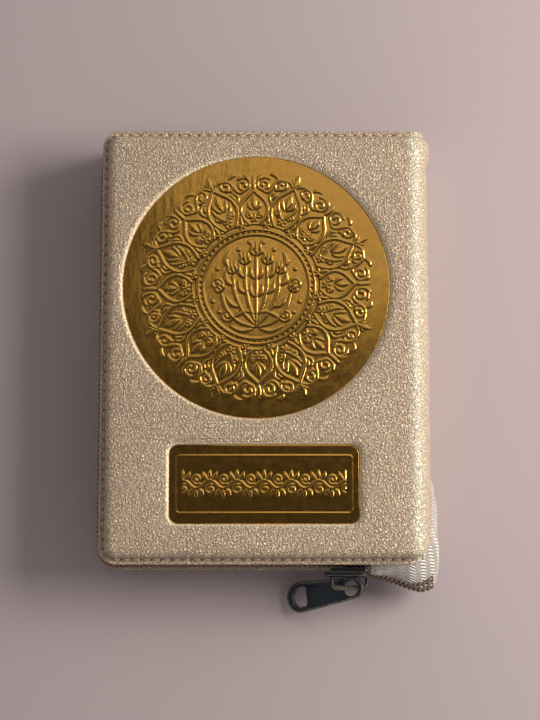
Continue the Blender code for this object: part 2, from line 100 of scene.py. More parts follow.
CORNER_RADIUS = 5.5
ROLL_START_X = SPINE_X - 5.0  # where the flat cover begins to roll over into the spine
ROLL_WIDTH = 6.1
ROLL_HEIGHT = 8.0
ROLL_SHARE = 0.72  # share of the upper half of the spine that is rolled; the rest is upright
ROLL_HIGHLIGHT_X = (SPINE_X - 6.6, SPINE_X - 3.8, SPINE_X - 3.4)  # the painted highlight along the roll begins, is brightest, fades again
STITCH_INSET = 1.5
STITCH_HOLE = 0.16  # from a needle hole's middle to the thread's end
STITCH_STEPS = 8
THREAD_RADIUS = 0.30
STATION_STEP = 0.5
FILL_STEP = 2.0  # between the points of a cover's padded face
ROW_SHARE = 0.866  # from one row of a triangular grid to the next, as a share of its spacing
PLATE_CORNER = 2.8
INSERT_SINK = 0.3  # the foils' ground lies this far below the tops of their boxes
INSERT_GAP = 0.2  # from a foil's ground to the outside of its turned-down rim
LEAF_CORNER = 3.0
LEAF_STEP = 12.0
LEAF_SEED = 1  # fixes the noise vectors, which follow the clock otherwise
COIL_STEPS = 12  # points in each turn of a coil
WIRE_SIDES = 6
CURL_STEPS = 26
CURL_END = 0.25  # a scroll's last radius, as a share of its first
BEVEL_FILL_STEP = 1.5  # between the points of the slider's and the tab's faces
WELD_DISTANCE = 0.00002  # in metres


# ---------------------------------------------------------------- settings

class LeatherSettings(bpy.types.PropertyGroup):
    """Sizes and colours of the covers and their stitching."""
    colour: FloatVectorProperty(
        name="Leather", description="Colour of the pearl-coated leather", subtype="COLOR",
        size=3, min=0.0, max=1.0, default=(0.60, 0.45, 0.315))
    # Colour of the painted shade laid into the grain's creases.
    shade: FloatVectorProperty(
        name="Creases", description="Colour between the pebbles of the grain", subtype="COLOR",
        size=3, min=0.0, max=1.0, default=(0.22, 0.155, 0.105))
    thread: FloatVectorProperty(
        name="Thread", description="Colour of the sewing thread", subtype="COLOR",
        size=3, min=0.0, max=1.0, default=(0.46, 0.36, 0.27))
    pebble: FloatProperty(
        name="Pebble size", description="Width of one pebble of the grain", subtype="DISTANCE",
        unit="LENGTH", default=0.0010, min=0.0002, max=0.01)
    stitch: FloatProperty(
        name="Stitch length", description="Distance from one needle hole to the next",
        subtype="DISTANCE", unit="LENGTH", default=0.0031, min=0.001, max=0.01)


class FoilSettings(bpy.types.PropertyGroup):
    """Relief and colour of the medallion and the name plate."""
    colour: FloatVectorProperty(
        name="Gold", description="Colour of the gold foil", subtype="COLOR",
        size=3, min=0.0, max=1.0, default=(0.88, 0.49, 0.115))
    relief: FloatProperty(
        name="Relief", description="Height of the raised ornament", subtype="DISTANCE",
        unit="LENGTH", default=0.00018, min=0.0001, max=0.002)
    spacing: FloatProperty(
        name="Mesh spacing", description="Distance between points of the relief", subtype="DISTANCE",
        unit="LENGTH", default=0.0002, min=0.0001, max=0.001)


class ZipSettings(bpy.types.PropertyGroup):
    """Sizes and colours of the zip."""
    pitch: FloatProperty(
        name="Coil pitch", description="Distance from one turn of the coil to the next",
        subtype="DISTANCE", unit="LENGTH", default=0.0015, min=0.0008, max=0.004)
    wire: FloatProperty(
        name="Coil wire", description="Radius of the coil's filament", subtype="DISTANCE",
        unit="LENGTH", default=0.00034, min=0.0001, max=0.001)
    coil: FloatVectorProperty(
        name="Coil", description="Colour of the coil", subtype="COLOR",
        size=3, min=0.0, max=1.0, default=(0.20, 0.125, 0.09))
    tape: FloatVectorProperty(
        name="Tape", description="Colour of the zip tape", subtype="COLOR",
        size=3, min=0.0, max=1.0, default=(0.87, 0.81, 0.74))
    paint: FloatVectorProperty(
        name="Slider paint", description="Colour of the slider and its bail", subtype="COLOR",
        size=3, min=0.0, max=1.0, default=(0.022, 0.024, 0.026))
    tab: FloatVectorProperty(
        name="Tab paint", description="Colour of the pull tab", subtype="COLOR",
        size=3, min=0.0, max=1.0, default=(0.010, 0.020, 0.033))


class LeafSettings(bpy.types.PropertyGroup):
    """The book block."""
    sheets: IntProperty(
        name="Sheets", description="Thin gatherings shown in each packet of leaves",
        default=34, min=4, max=200)
    colour: FloatVectorProperty(
        name="Paper", description="Colour of the leaves", subtype="COLOR",
        size=3, min=0.0, max=1.0, default=(0.74, 0.69, 0.58))


class StageSettings(bpy.types.PropertyGroup):
    """Floor, lights and camera."""
    floor: FloatVectorProperty(
        name="Floor", description="Colour of the floor", subtype="COLOR",
        size=3, min=0.0, max=1.0, default=(0.465, 0.385, 0.40))
    key_power: FloatProperty(
        name="Key light", description="Power of the soft light on the spine's side",
        subtype="POWER", unit="POWER", default=5.3, min=0.0)
    top_power: FloatProperty(
        name="Top light", description="Power of the large light overhead",
        subtype="POWER", unit="POWER", default=0.95, min=0.0)
    ambient: FloatProperty(
        name="Ambient", description="Strength of the even light from all round",
        default=0.33, min=0.0)
    distance: FloatProperty(
        name="Camera distance", description="From the camera to the cover", subtype="DISTANCE",
        unit="LENGTH", default=0.72, min=0.1)
    tilt: FloatProperty(
        name="Camera tilt", description="Lean of the camera towards the foot of the book",
        subtype="ANGLE", unit="ROTATION", default=math.radians(10.5))


SETTINGS = {
    "book_leather": LeatherSettings,
    "book_foil": FoilSettings,
    "book_zip": ZipSettings,
    "book_leaves": LeafSettings,
    "book_stage": StageSettings,
}


# ---------------------------------------------------------------- material building

class Shading:
    """One node material, built with short calls."""

    def __init__(self, name):
        self.material = bpy.data.materials.new(name)
        self.material.use_nodes = True
        self.tree = self.material.node_tree
        self.shader = self.tree.nodes["Principled BSDF"]

    def add(self, kind, *inputs, **fields):
        """Add a node; inputs are values or sockets in order, None leaves one alone."""
        made = self.tree.nodes.new("ShaderNode" + kind)
        for key, value in fields.items():
            setattr(made, key, value)
        for socket, value in zip(made.inputs, inputs):
            self.put(socket, value)
        return made

    def put(self, socket, value):
        """Link a socket, or set its value."""
        if value is None:
            return
        if isinstance(value, bpy.types.NodeSocket):
            self.tree.links.new(value, socket)
        elif isinstance(value, bpy.types.Node):
            self.tree.links.new(value.outputs[0], socket)
        elif hasattr(value, "__len__") and len(value) == 3 and len(socket.default_value) == 4:
            socket.default_value = (*value, 1.0)
        else:
            socket.default_value = value

    def maths(self, operation, *inputs):
        """Add a Math node and return its result."""
        return self.add("Math", *inputs, operation=operation).outputs[0]

    def span(self, value, low, high, to_low=0.0, to_high=1.0):
        """Map a value smoothly from one range to another."""
        return self.add("MapRange", value, low, high, to_low, to_high,
                        interpolation_type="SMOOTHSTEP").outputs[0]

    def mix(self, share, first, second):
        """Mix two colours and return the result."""
        made = self.tree.nodes.new("ShaderNodeMix")
        made.data_type = "RGBA"
        self.put(made.inputs[0], share)
        self.put(made.inputs[6], first)
        self.put(made.inputs[7], second)
        return made.outputs[2]

    def place(self):
        """Return the position that each point of the piece has at rest."""
        return self.add("Attribute", attribute_name="rest_place").outputs["Vector"]

    def noise(self, scale, detail=2.0, roughness=0.5, vector=None, output=0):
        """Add a noise texture; the scale is in cells a metre."""
        made = self.add("TexNoise", vector or self.place())
        made.inputs["Scale"].default_value = scale
        made.inputs["Detail"].default_value = detail
        made.inputs["Roughness"].default_value = roughness
        return made.outputs[output]

    def cells(self, scale, feature, vector):
        """Add a Voronoi texture and return its distance."""
        made = self.add("TexVoronoi", vector, feature=feature)
        made.inputs["Scale"].default_value = scale
        return made.outputs["Distance"]

    def bump(self, height, distance, strength=1.0, normal=None):
        """Add a bump; the distance is the full height in metres."""
        made = self.add("Bump")
        made.inputs["Strength"].default_value = strength
        made.inputs["Distance"].default_value = distance
        self.put(made.inputs["Height"], height)
        self.put(made.inputs["Normal"], normal)
        return made.outputs[0]

    def finish(self, colour=None, roughness=None, metallic=None, normal=None, **others):
        """Set the shader's sockets and return the material."""
        for name, value in (("Base Color", colour), ("Roughness", roughness),
                            ("Metallic", metallic), ("Normal", normal)):
            self.put(self.shader.inputs[name], value)
        for name, value in others.items():
            self.put(self.shader.inputs[name.replace("_", " ")], value)
        return self.material


def once(maker):
    """Keep one material of each kind."""
    def found(*words):
        name = "look_" + maker.__name__ + "".join("_" + str(word) for word in words)
        return bpy.data.materials.get(name) or maker(name, *words)
    return found


@once
def pearl_leather(name):
    """Pebbled leather with a pearl coat, painted shade in its grain's creases, a paler painted highlight
    along the roll and cream painted highlights on the windows' lips.
    """
    cover = bpy.context.scene.book_leather
    s = Shading(name)
    wobble = s.noise(900.0, 2.0, output=1)
    swing = s.add("VectorMath", wobble, (0.5, 0.5, 0.5), operation="SUBTRACT").outputs[0]
    swing = s.add("VectorMath", swing, (0.0009, 0.0009, 0.0009), operation="MULTIPLY").outputs[0]
    warped = s.add("VectorMath", s.place(), swing, operation="ADD").outputs[0]
    crease = s.cells(1.0 / cover.pebble, "DISTANCE_TO_EDGE", warped)
    pebble = s.span(crease, 0.0, 0.34)
    fold = s.noise(0.85 / cover.pebble, 2.0, 0.45, warped)
    ridge_line = s.maths("ABSOLUTE", s.maths("SUBTRACT", fold, 0.5))
    wrinkle = s.span(ridge_line, 0.0, 0.11)
    height = s.maths("MULTIPLY_ADD", wrinkle, 0.75, s.maths("MULTIPLY", pebble, 0.6))
    pores = s.noise(2600.0, 3.0, 0.6)
    height = s.maths("MULTIPLY_ADD", pores, 0.12, height)
    cloud = s.noise(22.0, 3.0, 0.55)
    tone = s.mix(s.span(cloud, 0.3, 0.7, 0.0, 0.35), cover.colour, (0.66, 0.52, 0.38))
    # Painted shade: the grain's creases and hollows are darkened towards the crease colour.
    crease_shade = s.maths("MULTIPLY", s.span(height, 0.3, 1.0, 1.0, 0.0), 0.50)
    colour = s.mix(crease_shade, tone, cover.shade)
    # Painted highlight: a paler cream band along the roll beside the spine.
    across = s.add("SeparateXYZ", s.place()).outputs[0]
    roll_highlight = s.span(across, ROLL_HIGHLIGHT_X[0] * MM, ROLL_HIGHLIGHT_X[1] * MM, 0.0, 0.78)
    roll_highlight_fade = s.span(across, ROLL_HIGHLIGHT_X[2] * MM, SPINE_X * MM, 0.0, 0.42)
    colour = s.mix(s.maths("SUBTRACT", roll_highlight, roll_highlight_fade), colour, (0.63, 0.575, 0.44))
    # Painted highlight: the windows' rolled lips are painted cream.
    lip = s.add("Attribute", attribute_name="cut_edge").outputs["Fac"]
    colour = s.mix(s.maths("MULTIPLY", lip, 0.8), colour, (0.86, 0.78, 0.58))
    rough = s.span(s.noise(1100.0, 2.0), 0.3, 0.7, 0.34, 0.54)
    return s.finish(colour, rough, 0.32, s.bump(height, 0.00024, 1.0),
                    Coat_Weight=0.10, Coat_Roughness=0.35, Specular_IOR_Level=0.6)


@once
def gold_foil(name):
    """Stamped gold foil, slightly uneven, with painted shade darker and warmer in its hollows."""
    foil = bpy.context.scene.book_foil
    s = Shading(name)
    raised = s.add("Attribute", attribute_name="relief").outputs["Fac"]
    # Painted shade: the relief's hollows and the turned-down rim are darkened.
    hollow_shade = s.span(raised, 0.0, 0.5, 0.35, 0.0)
    blotch = s.span(s.noise(60.0, 3.0, 0.6), 0.35, 0.7, 0.0, 0.45)
    colour = s.mix(blotch, foil.colour, (0.84, 0.42, 0.075))
    colour = s.mix(hollow_shade, colour, (0.66, 0.33, 0.06))
    rough = s.span(s.noise(420.0, 3.0, 0.6), 0.25, 0.75, 0.10, 0.19)
    stretched = s.add("Mapping", s.place())
    stretched.inputs["Scale"].default_value = (1.0, 0.35, 1.0)
    waves = s.noise(380.0, 3.0, 0.55, stretched.outputs[0])
    grain = s.noise(3500.0, 2.0, 0.6)
    normal = s.bump(waves, 0.00007, 0.6)
    normal = s.bump(grain, 0.000012, 0.5, normal)
    return s.finish(colour, rough, 1.0, normal)


@once
def sewing_thread(name):
    """Twisted thread."""
    s = Shading(name)
    twist = s.add("TexWave", s.place(), wave_type="BANDS", bands_direction="DIAGONAL")
    twist.inputs["Scale"].default_value = 900.0
    twist.inputs["Distortion"].default_value = 1.5
    colour = s.mix(s.noise(900.0, 2.0), bpy.context.scene.book_leather.thread, (0.52, 0.42, 0.34))
    return s.finish(colour, 0.55, 0.0, s.bump(twist.outputs[1], 0.00005, 0.6), Sheen_Weight=0.3)


@once
def tape_weave(name):
    """Herringbone zip tape, drawn from each point's place along and across the tape."""
    settings = bpy.context.scene.book_zip
    s = Shading(name)
    place = s.add("UVMap", uv_map="tape").outputs[0]
    parts = s.add("SeparateXYZ", place)
    along, across = parts.outputs[0], parts.outputs[1]
    zigzag = s.maths("PINGPONG", along, 0.0017)
    phase = s.maths("ADD", across, s.maths("MULTIPLY", zigzag, 1.25))
    rib = s.maths("SINE", s.maths("MULTIPLY", phase, 2 * math.pi / 0.00125))
    column = s.span(zigzag, 0.0, 0.0002, 0.3, 1.0)
    weft = s.maths("SINE", s.maths("MULTIPLY", across, 2 * math.pi / 0.00028))
    height = s.maths("MULTIPLY_ADD", weft, 0.12, s.maths("MULTIPLY", rib, column))
    height = s.maths("MULTIPLY_ADD", s.noise(3000.0, 2.0), 0.5, height)
    # Painted shade: dark brown between the herringbone's ribs.
    rib_shade = s.span(rib, -1.0, 0.2, 0.75, 0.0)
    colour = s.mix(rib_shade, settings.tape, (0.20, 0.14, 0.11))
    colour = s.mix(s.span(s.noise(500.0, 2.0), 0.3, 0.7, 0.0, 0.3), colour, (0.88, 0.82, 0.76))
    return s.finish(colour, 0.62, 0.0, s.bump(height, 0.00022, 1.0),
                    Sheen_Weight=0.35, Sheen_Roughness=0.4)


@once
def coil_filament(name):
    """Satin brown filament."""
    s = Shading(name)
    blotch = s.noise(700.0, 3.0)
    colour = s.mix(blotch, bpy.context.scene.book_zip.coil, (0.26, 0.155, 0.11))
    rough = s.span(s.noise(1500.0, 2.0), 0.3, 0.7, 0.28, 0.48)
    return s.finish(colour, rough, 0.0, s.bump(s.noise(2500.0, 2.0), 0.00002, 0.5))


@once
def worn_paint(name, part):
    """Dark enamel over metal, worn through on its edges."""
    settings = bpy.context.scene.book_zip
    paint = settings.tab if part == "tab" else settings.paint
    s = Shading(name)
    edge = s.add("Attribute", attribute_name="edge_wear").outputs["Fac"]
    scratch = s.noise(1300.0, 4.0, 0.65)
    worn = s.maths("MULTIPLY", edge, s.span(scratch, 0.36, 0.58))
    wear = s.maths("MULTIPLY", worn, 0.85)
    blotch = s.span(s.noise(260.0, 3.0, 0.6), 0.4, 0.7, 0.0, 0.5)
    colour = s.mix(blotch, paint, (0.020, 0.031, 0.044))
    colour = s.mix(wear, colour, (0.36, 0.31, 0.25))
    rough = s.span(s.noise(800.0, 3.0, 0.6), 0.3, 0.7, 0.28, 0.46)
    metal = s.span(wear, 0.0, 1.0)
    orange_peel = s.bump(s.noise(1600.0, 2.0), 0.00002, 0.5)
    return s.finish(colour, rough, metal, orange_peel, Coat_Weight=0.06, Coat_Roughness=0.25,
                    Specular_IOR_Level=0.35)


@once
def leaf_paper(name):
    """Cream paper, toned from sheet to sheet."""
    s = Shading(name)
    tint = s.add("Attribute", attribute_name="sheet_tone").outputs["Fac"]
    colour = s.mix(s.maths("MULTIPLY", tint, 0.55), bpy.context.scene.book_leaves.colour,
                   (0.60, 0.52, 0.40))
    colour = s.mix(s.span(s.noise(90.0, 3.0), 0.45, 0.75, 0.0, 0.3), colour, (0.70, 0.62, 0.48))
    return s.finish(colour, 0.85, 0.0, s.bump(s.noise(2400.0, 3.0), 0.00003, 0.4))


def plain_stock(name, colour, other, scale, roughness, depth, weave=0.0):
    """A matt sheet stock: board, foam, cloth or paper, by its grain size and depth."""
    s = Shading(name)
    place = s.add("TexCoord").outputs["Object"]
    grain = s.noise(scale, 4.0, 0.6, place)
    height = grain
    if weave:
        parts = s.add("SeparateXYZ", place)
        turns = 2 * math.pi / weave
        warp = s.maths("SINE", s.maths("MULTIPLY", parts.outputs[0], turns))
        weft = s.maths("SINE", s.maths("MULTIPLY", parts.outputs[1], turns))
        height = s.maths("ADD", s.maths("MULTIPLY", warp, weft), grain)
    tone = s.mix(s.span(height, 0.3, 0.7), colour, other)
    rough = s.span(grain, 0.3, 0.7, roughness - 0.08, roughness + 0.05)
    return s.finish(tone, rough, 0.0, s.bump(height, depth, 0.8))


# ---------------------------------------------------------------- mesh building

def make_piece(name, points, faces, material, smooth=True, layers=None, floats=None):
    """Make a mesh piece from points in millimetres, and note each point's place at rest."""
    points = np.asarray(points, float).reshape(-1, 3) * MM
    mesh = bpy.data.meshes.new(name)
    mesh.from_pydata(points.tolist(), [], [list(map(int, face)) for face in faces])
    mesh.validate(verbose=False)
    mesh.materials.append(material)
    rest = mesh.attributes.new("rest_place", "FLOAT_VECTOR", "POINT")
    rest.data.foreach_set("vector", points.astype(np.float32).ravel())
    for key, values in (floats or {}).items():
        layer = mesh.attributes.new(key, "FLOAT", "POINT")
        layer.data.foreach_set("value", np.asarray(values, np.float32))
    if layers is not None:
        corners = np.zeros(len(mesh.loops), np.int32)
        mesh.loops.foreach_get("vertex_index", corners)
        uv = mesh.uv_layers.new(name="tape")
        uv.data.foreach_set("uv", (np.asarray(layers, float) * MM)[corners].astype(np.float32).ravel())
    if smooth:
        mesh.shade_smooth()
        mesh.set_sharp_from_angle(angle=math.radians(50.0))
    obj = bpy.data.objects.new(name, mesh)
    bpy.context.scene.collection.objects.link(obj)
    return obj


def band_faces(rows, columns, wrap=False, flip=False):
    """Return quads over a grid of points numbered row by row."""
    faces = []
    last = columns if wrap else columns - 1
    for row in range(rows - 1):
        for column in range(last):
            a = row * columns + column
            b = row * columns + (column + 1) % columns
            quad = (a, b, b + columns, a + columns)
            faces.append(quad[::-1] if flip else quad)
    return faces


def tube(path, radius, sides, axis_line=None):
    """Return points and faces of a capped tube along a path; axis_line steers a coil's frames."""
    path = np.asarray(path, float)
    run = np.gradient(path, axis=0)
    run /= np.linalg.norm(run, axis=1)[:, None]
    guide = path - axis_line if axis_line is not None else np.tile([0.0, 0.0, 1.0], (len(path), 1))
    side = np.cross(run, guide)
    side /= np.maximum(np.linalg.norm(side, axis=1), 1e-9)[:, None]
    up = np.cross(side, run)
    radius = np.broadcast_to(np.asarray(radius, float), (len(path),))
    angles = 2 * math.pi * np.arange(sides) / sides
    ring = (side[:, None, :] * np.cos(angles)[None, :, None]
            + up[:, None, :] * np.sin(angles)[None, :, None])
    points = path[:, None, :] + ring * radius[:, None, None]
    faces = band_faces(len(path), sides, wrap=True)
    end = (len(path) - 1) * sides
    faces += [tuple(range(sides))[::-1], tuple(range(end, end + sides))]
    return points.reshape(-1, 3), faces


class Gather:
    """Collects parts of one piece."""

    def __init__(self):
        self.points, self.faces, self.extra = [], [], []
        self.count = 0

    def add(self, points, faces, extra=None):
        """Add points and faces, renumbered after what is there."""
        points = np.asarray(points, float).reshape(-1, 3)
        self.points.append(points)
        self.faces += [tuple(int(i) + self.count for i in face) for face in faces]
        if extra is not None:
            self.extra.append(np.broadcast_to(np.asarray(extra, float), (len(points),)))
        self.count += len(points)

    def all_points(self):
        """Return every point."""
        return np.concatenate(self.points)


def smooth_curve(points, steps=8):
    """Return a Catmull-Rom curve through a few points."""
    points = np.asarray(points, float)
    padded = np.vstack([2 * points[0] - points[1], points, 2 * points[-1] - points[-2]])
    made = []
    for i in range(len(points) - 1):
        a, b, c, d = padded[i:i + 4]
        for step in range(steps):
            t = step / steps
            made.append(0.5 * (2 * b + (c - a) * t + (2 * a - 5 * b + 4 * c - d) * t ** 2
                               + (3 * b - a - 3 * c + d) * t ** 3))
    made.append(points[-1])
    return np.array(made)


def ease(value, low, high):
    """Return a smooth step from 0 at low to 1 at high."""
    share = np.clip((np.asarray(value, float) - low) / (high - low), 0.0, 1.0)
    return share * share * (3 - 2 * share)


# ---------------------------------------------------------------- the case's outline

class Edge:
    """The covers' sewn edge: along the foot, round the fore-edge and back along the head."""

    def __init__(self, foot_x, head_x):
        self.low_x = FORE_X + CORNER_RADIUS
        self.top = HALF_HEIGHT - CORNER_RADIUS
        quarter = CORNER_RADIUS * math.pi / 2
        self.parts = np.cumsum([0.0, foot_x - self.low_x, quarter, 2 * self.top, quarter,
                                head_x - self.low_x])
        self.foot_x = foot_x
        self.length = self.parts[-1]

    def at(self, distance, inset=0.0):
        """Return (x, y, along-x, along-y) at a distance along the edge, set in by an inset."""
        s = min(max(distance, 0.0), self.length)
        part = min(int(np.searchsorted(self.parts, s, side="right")) - 1, 4)
        s -= self.parts[part]
        reach = CORNER_RADIUS - inset
        if part == 0:
            return self.foot_x - s, -HALF_HEIGHT + inset, -1.0, 0.0
        if part == 2:
            return FORE_X + inset, -self.top + s, 0.0, 1.0
        if part == 4:
            return self.low_x + s, HALF_HEIGHT - inset, 1.0, 0.0
        start = -math.pi / 2 if part == 1 else math.pi
        sign = -1.0 if part in (1, 3) else 1.0
        turn = start + sign * s / CORNER_RADIUS
        centre_y = -self.top if part == 1 else self.top
        x = self.low_x + reach * math.cos(turn)
        y = centre_y + reach * math.sin(turn)
        return x, y, math.sin(turn), -math.cos(turn)

    def stations(self, step):
        """Return evenly spaced distances along the whole edge."""
        return np.linspace(0.0, self.length, int(round(self.length / step)) + 1)


# (inset from the edge, depth below the cover's face), from the flange's underside inwards
EDGE_SECTION = (
    (2.7, FLANGE_LOW), (0.45, FLANGE_LOW), (0.15, 4.2), (0.0, 3.98), (0.0, 3.66), (0.12, 3.42),
    (0.38, 3.28), (0.75, 3.24), (1.05, 3.32), (1.28, 3.52), (1.5, 3.66), (1.68, 3.52),
    (1.8, 3.0), (1.92, 2.3), (2.12, 1.55), (2.45, 0.95), (2.9, 0.52), (3.4, 0.25), (3.95, 0.08),
    (4.4, 0.0),
)
FACE_INSET = EDGE_SECTION[-1][0]


def level(depth, up):
    """Return the height of a point at a depth below a cover's outer face."""
    return TOP_Z - depth if up else depth


def stitch_dent(distance, inset, pitch):
    """Return how far the leather sinks at needle holes and swells between them."""
    phase = distance / pitch
    away = abs(phase - round(phase)) * pitch
    hole = 0.42 * math.exp(-(away / 0.30) ** 2 - ((inset - STITCH_INSET) / 0.28) ** 2)
    pull = math.exp(-((inset - 2.0) / 0.55) ** 2)
    return hole + 0.16 * pull * math.cos(2 * math.pi * phase)


def pillow(x, y):
    """Return how far the padding lifts the front cover's leather at a point."""
    lift = 0.34
    for distance in (HALF_HEIGHT - FACE_INSET - abs(y), x - FORE_X - FACE_INSET, ROLL_START_X - x):
        lift *= 1.0 - math.exp(-max(distance, 0.0) / 4.5)
    for gap in (medal_gap(x, y), plate_gap(x, y)):
        lift *= 1.0 - math.exp(-max(gap - 0.8, 0.0) / 3.0)
    ripple = noise.noise(Vector((x * 0.045, y * 0.045, 3.7))) * 0.22
    return lift * (1.0 + ripple * 1.6)


def medal_gap(x, y):
    """Return a point's distance outside the medallion."""
    return math.hypot(x - MEDAL_CENTRE.x, y - MEDAL_CENTRE.y) - MEDAL_RADIUS


def plate_gap(x, y):
    """Return a point's distance outside the name plate."""
    dx = abs(x - PLATE_CENTRE.x) - PLATE_SIZE.x / 2 + PLATE_CORNER
    dy = abs(y - PLATE_CENTRE.y) - PLATE_SIZE.y / 2 + PLATE_CORNER
    return math.hypot(max(dx, 0.0), max(dy, 0.0)) + min(max(dx, dy), 0.0) - PLATE_CORNER


# (distance outside the insert, depth below the face) down a window's rolled lip
LIP_SECTION = ((0.04, 1.75), (0.06, 1.2), (0.26, 0.86), (0.5, 0.52), (0.78, 0.25),
               (1.08, 0.09), (1.42, 0.02), (1.8, 0.0))
LIP_REACH = LIP_SECTION[-1][0]


def round_loop(offset, count=300):
    """Return a circle outside the medallion."""
    turn = 2 * math.pi * np.arange(count) / count
    reach = MEDAL_RADIUS + offset
    return np.stack([MEDAL_CENTRE.x + reach * np.cos(turn), MEDAL_CENTRE.y + reach * np.sin(turn)], 1)


def rounded_loop(centre, size, radius, offset, step=0.75, corner_steps=8):
    """Return a rounded rectangle grown by an offset, with evenly spaced sides."""
    half_x, half_y = size[0] / 2 - radius, size[1] / 2 - radius
    reach = radius + offset
    corners = ((1, 1, 0.0), (-1, 1, 90.0), (-1, -1, 180.0), (1, -1, 270.0))
    points = []
    for index, (sx, sy, start) in enumerate(corners):
        cx, cy = centre[0] + sx * half_x, centre[1] + sy * half_y
        for i in range(corner_steps + 1):
            turn = math.radians(start + 90.0 * i / corner_steps)
            points.append((cx + reach * math.cos(turn), cy + reach * math.sin(turn)))
        nx, ny, begin = corners[(index + 1) % 4]
        turn = math.radians(begin)
        target = (centre[0] + nx * half_x + reach * math.cos(turn),
                  centre[1] + ny * half_y + reach * math.sin(turn))
        run = (half_x if index % 2 == 0 else half_y) * 2
        pieces = max(int(run / step), 1)
        for i in range(1, pieces):
            share = i / pieces
            last = (cx + reach * math.cos(math.radians(start + 90.0)),
                    cy + reach * math.sin(math.radians(start + 90.0)))
            points.append((last[0] + (target[0] - last[0]) * share,
                           last[1] + (target[1] - last[1]) * share))
    return np.array(points)


def plate_loop(offset):
    """Return a rounded rectangle outside the name plate."""
    return rounded_loop((PLATE_CENTRE.x, PLATE_CENTRE.y), PLATE_SIZE, PLATE_CORNER, offset)


def fill_between(outer, holes, spacing, inside):
    """Fill the area between loops with triangles on a staggered grid; returns points and faces."""
    loops = [np.asarray(loop) for loop in (outer, *holes)]
    low, high = loops[0].min(0), loops[0].max(0)
    grid = []
    rows = int((high[1] - low[1]) / (spacing * ROW_SHARE))
    for row in range(1, rows):
        y = low[1] + row * spacing * ROW_SHARE
        shift = 0.5 * spacing * (row % 2)
        for column in range(1, int((high[0] - low[0]) / spacing)):
            x = low[0] + column * spacing + shift
            if inside(x, y) > spacing * 0.45:
                grid.append((x, y))
    points = np.concatenate(loops + [np.array(grid).reshape(-1, 2)])
    edges = []
    first = 0
    for loop in loops:
        count = len(loop)
        edges += [(first + i, first + (i + 1) % count) for i in range(count)]
        first += count
    made = delaunay_2d_cdt([Vector(p) for p in points], edges, [], 0, 1e-7)
    flat = np.array([tuple(p) for p in made[0]])
    faces = []
    for face in made[2]:
        centre = flat[list(face)].mean(0)
        if inside(*centre) > 0.0:
            faces.append(tuple(face))
    return flat, faces


def cover_leather(name, up, material, pitch):
    """Build one cover's leather; the upper one is padded and has windows with rolled lips."""
    edge = Edge(ROLL_START_X, ROLL_START_X)
    stations = edge.stations(STATION_STEP)
    rows = []
    for inset, depth in EDGE_SECTION:
        row = []
        for s in stations:
            x, y, _, _ = edge.at(s, inset)
            dent = stitch_dent(s, inset, pitch) if inset > 0.7 else 0.0
            row.append((x, y, level(depth + dent * min(1.0, depth / 0.5), up)))
        rows.append(row)
    book = Gather()
    columns = len(stations)
    book.add(np.array(rows).reshape(-1, 3), band_faces(len(rows), columns, flip=up), 0.0)

    inner = np.array(rows[-1])[:, :2]
    side_count = int(2 * (HALF_HEIGHT - FACE_INSET) / 1.2)
    side_y = np.linspace(inner[-1][1], inner[0][1], side_count + 1)[1:-1]
    side = np.stack([np.full(len(side_y), ROLL_START_X), side_y], 1)
    outer = np.concatenate([inner, side])
    holes = []
    if up:
        for maker in (round_loop, plate_loop):
            rings = [maker(offset) for offset, _ in LIP_SECTION]
            lip = [np.column_stack([ring, np.full(len(ring), level(depth, up))])
                   for ring, (_, depth) in zip(rings, LIP_SECTION)]
            # Painted highlight: how much cream is painted on each ring of a window's lip, more down its wall.
            lip_highlight_share = np.repeat([ease(depth, 0.12, 0.5) for _, depth in LIP_SECTION], len(lip[0]))
            book.add(np.array(lip).reshape(-1, 3), band_faces(len(lip), len(lip[0]), wrap=True), lip_highlight_share)
            holes.append(maker(LIP_REACH))

    def inside(x, y):
        gap = min(ROLL_START_X - x, HALF_HEIGHT - FACE_INSET - abs(y), x - FORE_X - FACE_INSET)
        corner_x = x - FORE_X - CORNER_RADIUS
        corner_y = abs(y) - HALF_HEIGHT + CORNER_RADIUS
        if corner_x < 0.0 < corner_y:
            gap = min(gap, CORNER_RADIUS - FACE_INSET - math.hypot(corner_x, corner_y))
        if up:
            gap = min(gap, medal_gap(x, y) - LIP_REACH, plate_gap(x, y) - LIP_REACH)
        return gap

    flat, faces = fill_between(outer, holes, FILL_STEP, inside)
    filled = np.column_stack([flat, np.zeros(len(flat))])
    if up:
        for point in filled:
            point[2] = level(-pillow(point[0], point[1]), up)
    if not up:
        faces = [face[::-1] for face in faces]
    book.add(filled, faces, 0.0)
    obj = make_piece(name, book.all_points(), book.faces, material,
                     floats={"cut_edge": np.concatenate(book.extra)})
    weld(obj)
    return obj


def weld(obj):
    """Merge points that lie on each other, applied to the mesh."""
    bm = bmesh.new()
    bm.from_mesh(obj.data)
    bmesh.ops.remove_doubles(bm, verts=bm.verts[:], dist=WELD_DISTANCE)
    bmesh.ops.recalc_face_normals(bm, faces=bm.faces[:])
    bm.to_mesh(obj.data)
    bm.free()


def stitch_row(name, up, material, pitch):
    """Build the thread along a cover's sewn edge, one raised stitch from hole to hole."""
    edge = Edge(ROLL_START_X, ROLL_START_X)
    thread = Gather()
    for index in range(int(edge.length / pitch)):
        start = index * pitch + STITCH_HOLE
        end = (index + 1) * pitch - STITCH_HOLE
        path, radius = [], []
        for step in range(STITCH_STEPS + 1):
            share = step / STITCH_STEPS
            s = start + (end - start) * share
            x, y, _, _ = edge.at(s, STITCH_INSET)
            arch = math.sin(math.pi * share)
            path.append((x, y, level(3.98 - 0.78 * arch ** 0.6, up)))
            radius.append(THREAD_RADIUS * (0.72 + 0.28 * math.sin(math.pi * step / STITCH_STEPS)))
        thread.add(*tube(path, radius, 8))
    return make_piece(name, thread.all_points(), thread.faces, material)


# ---------------------------------------------------------------- spine leather

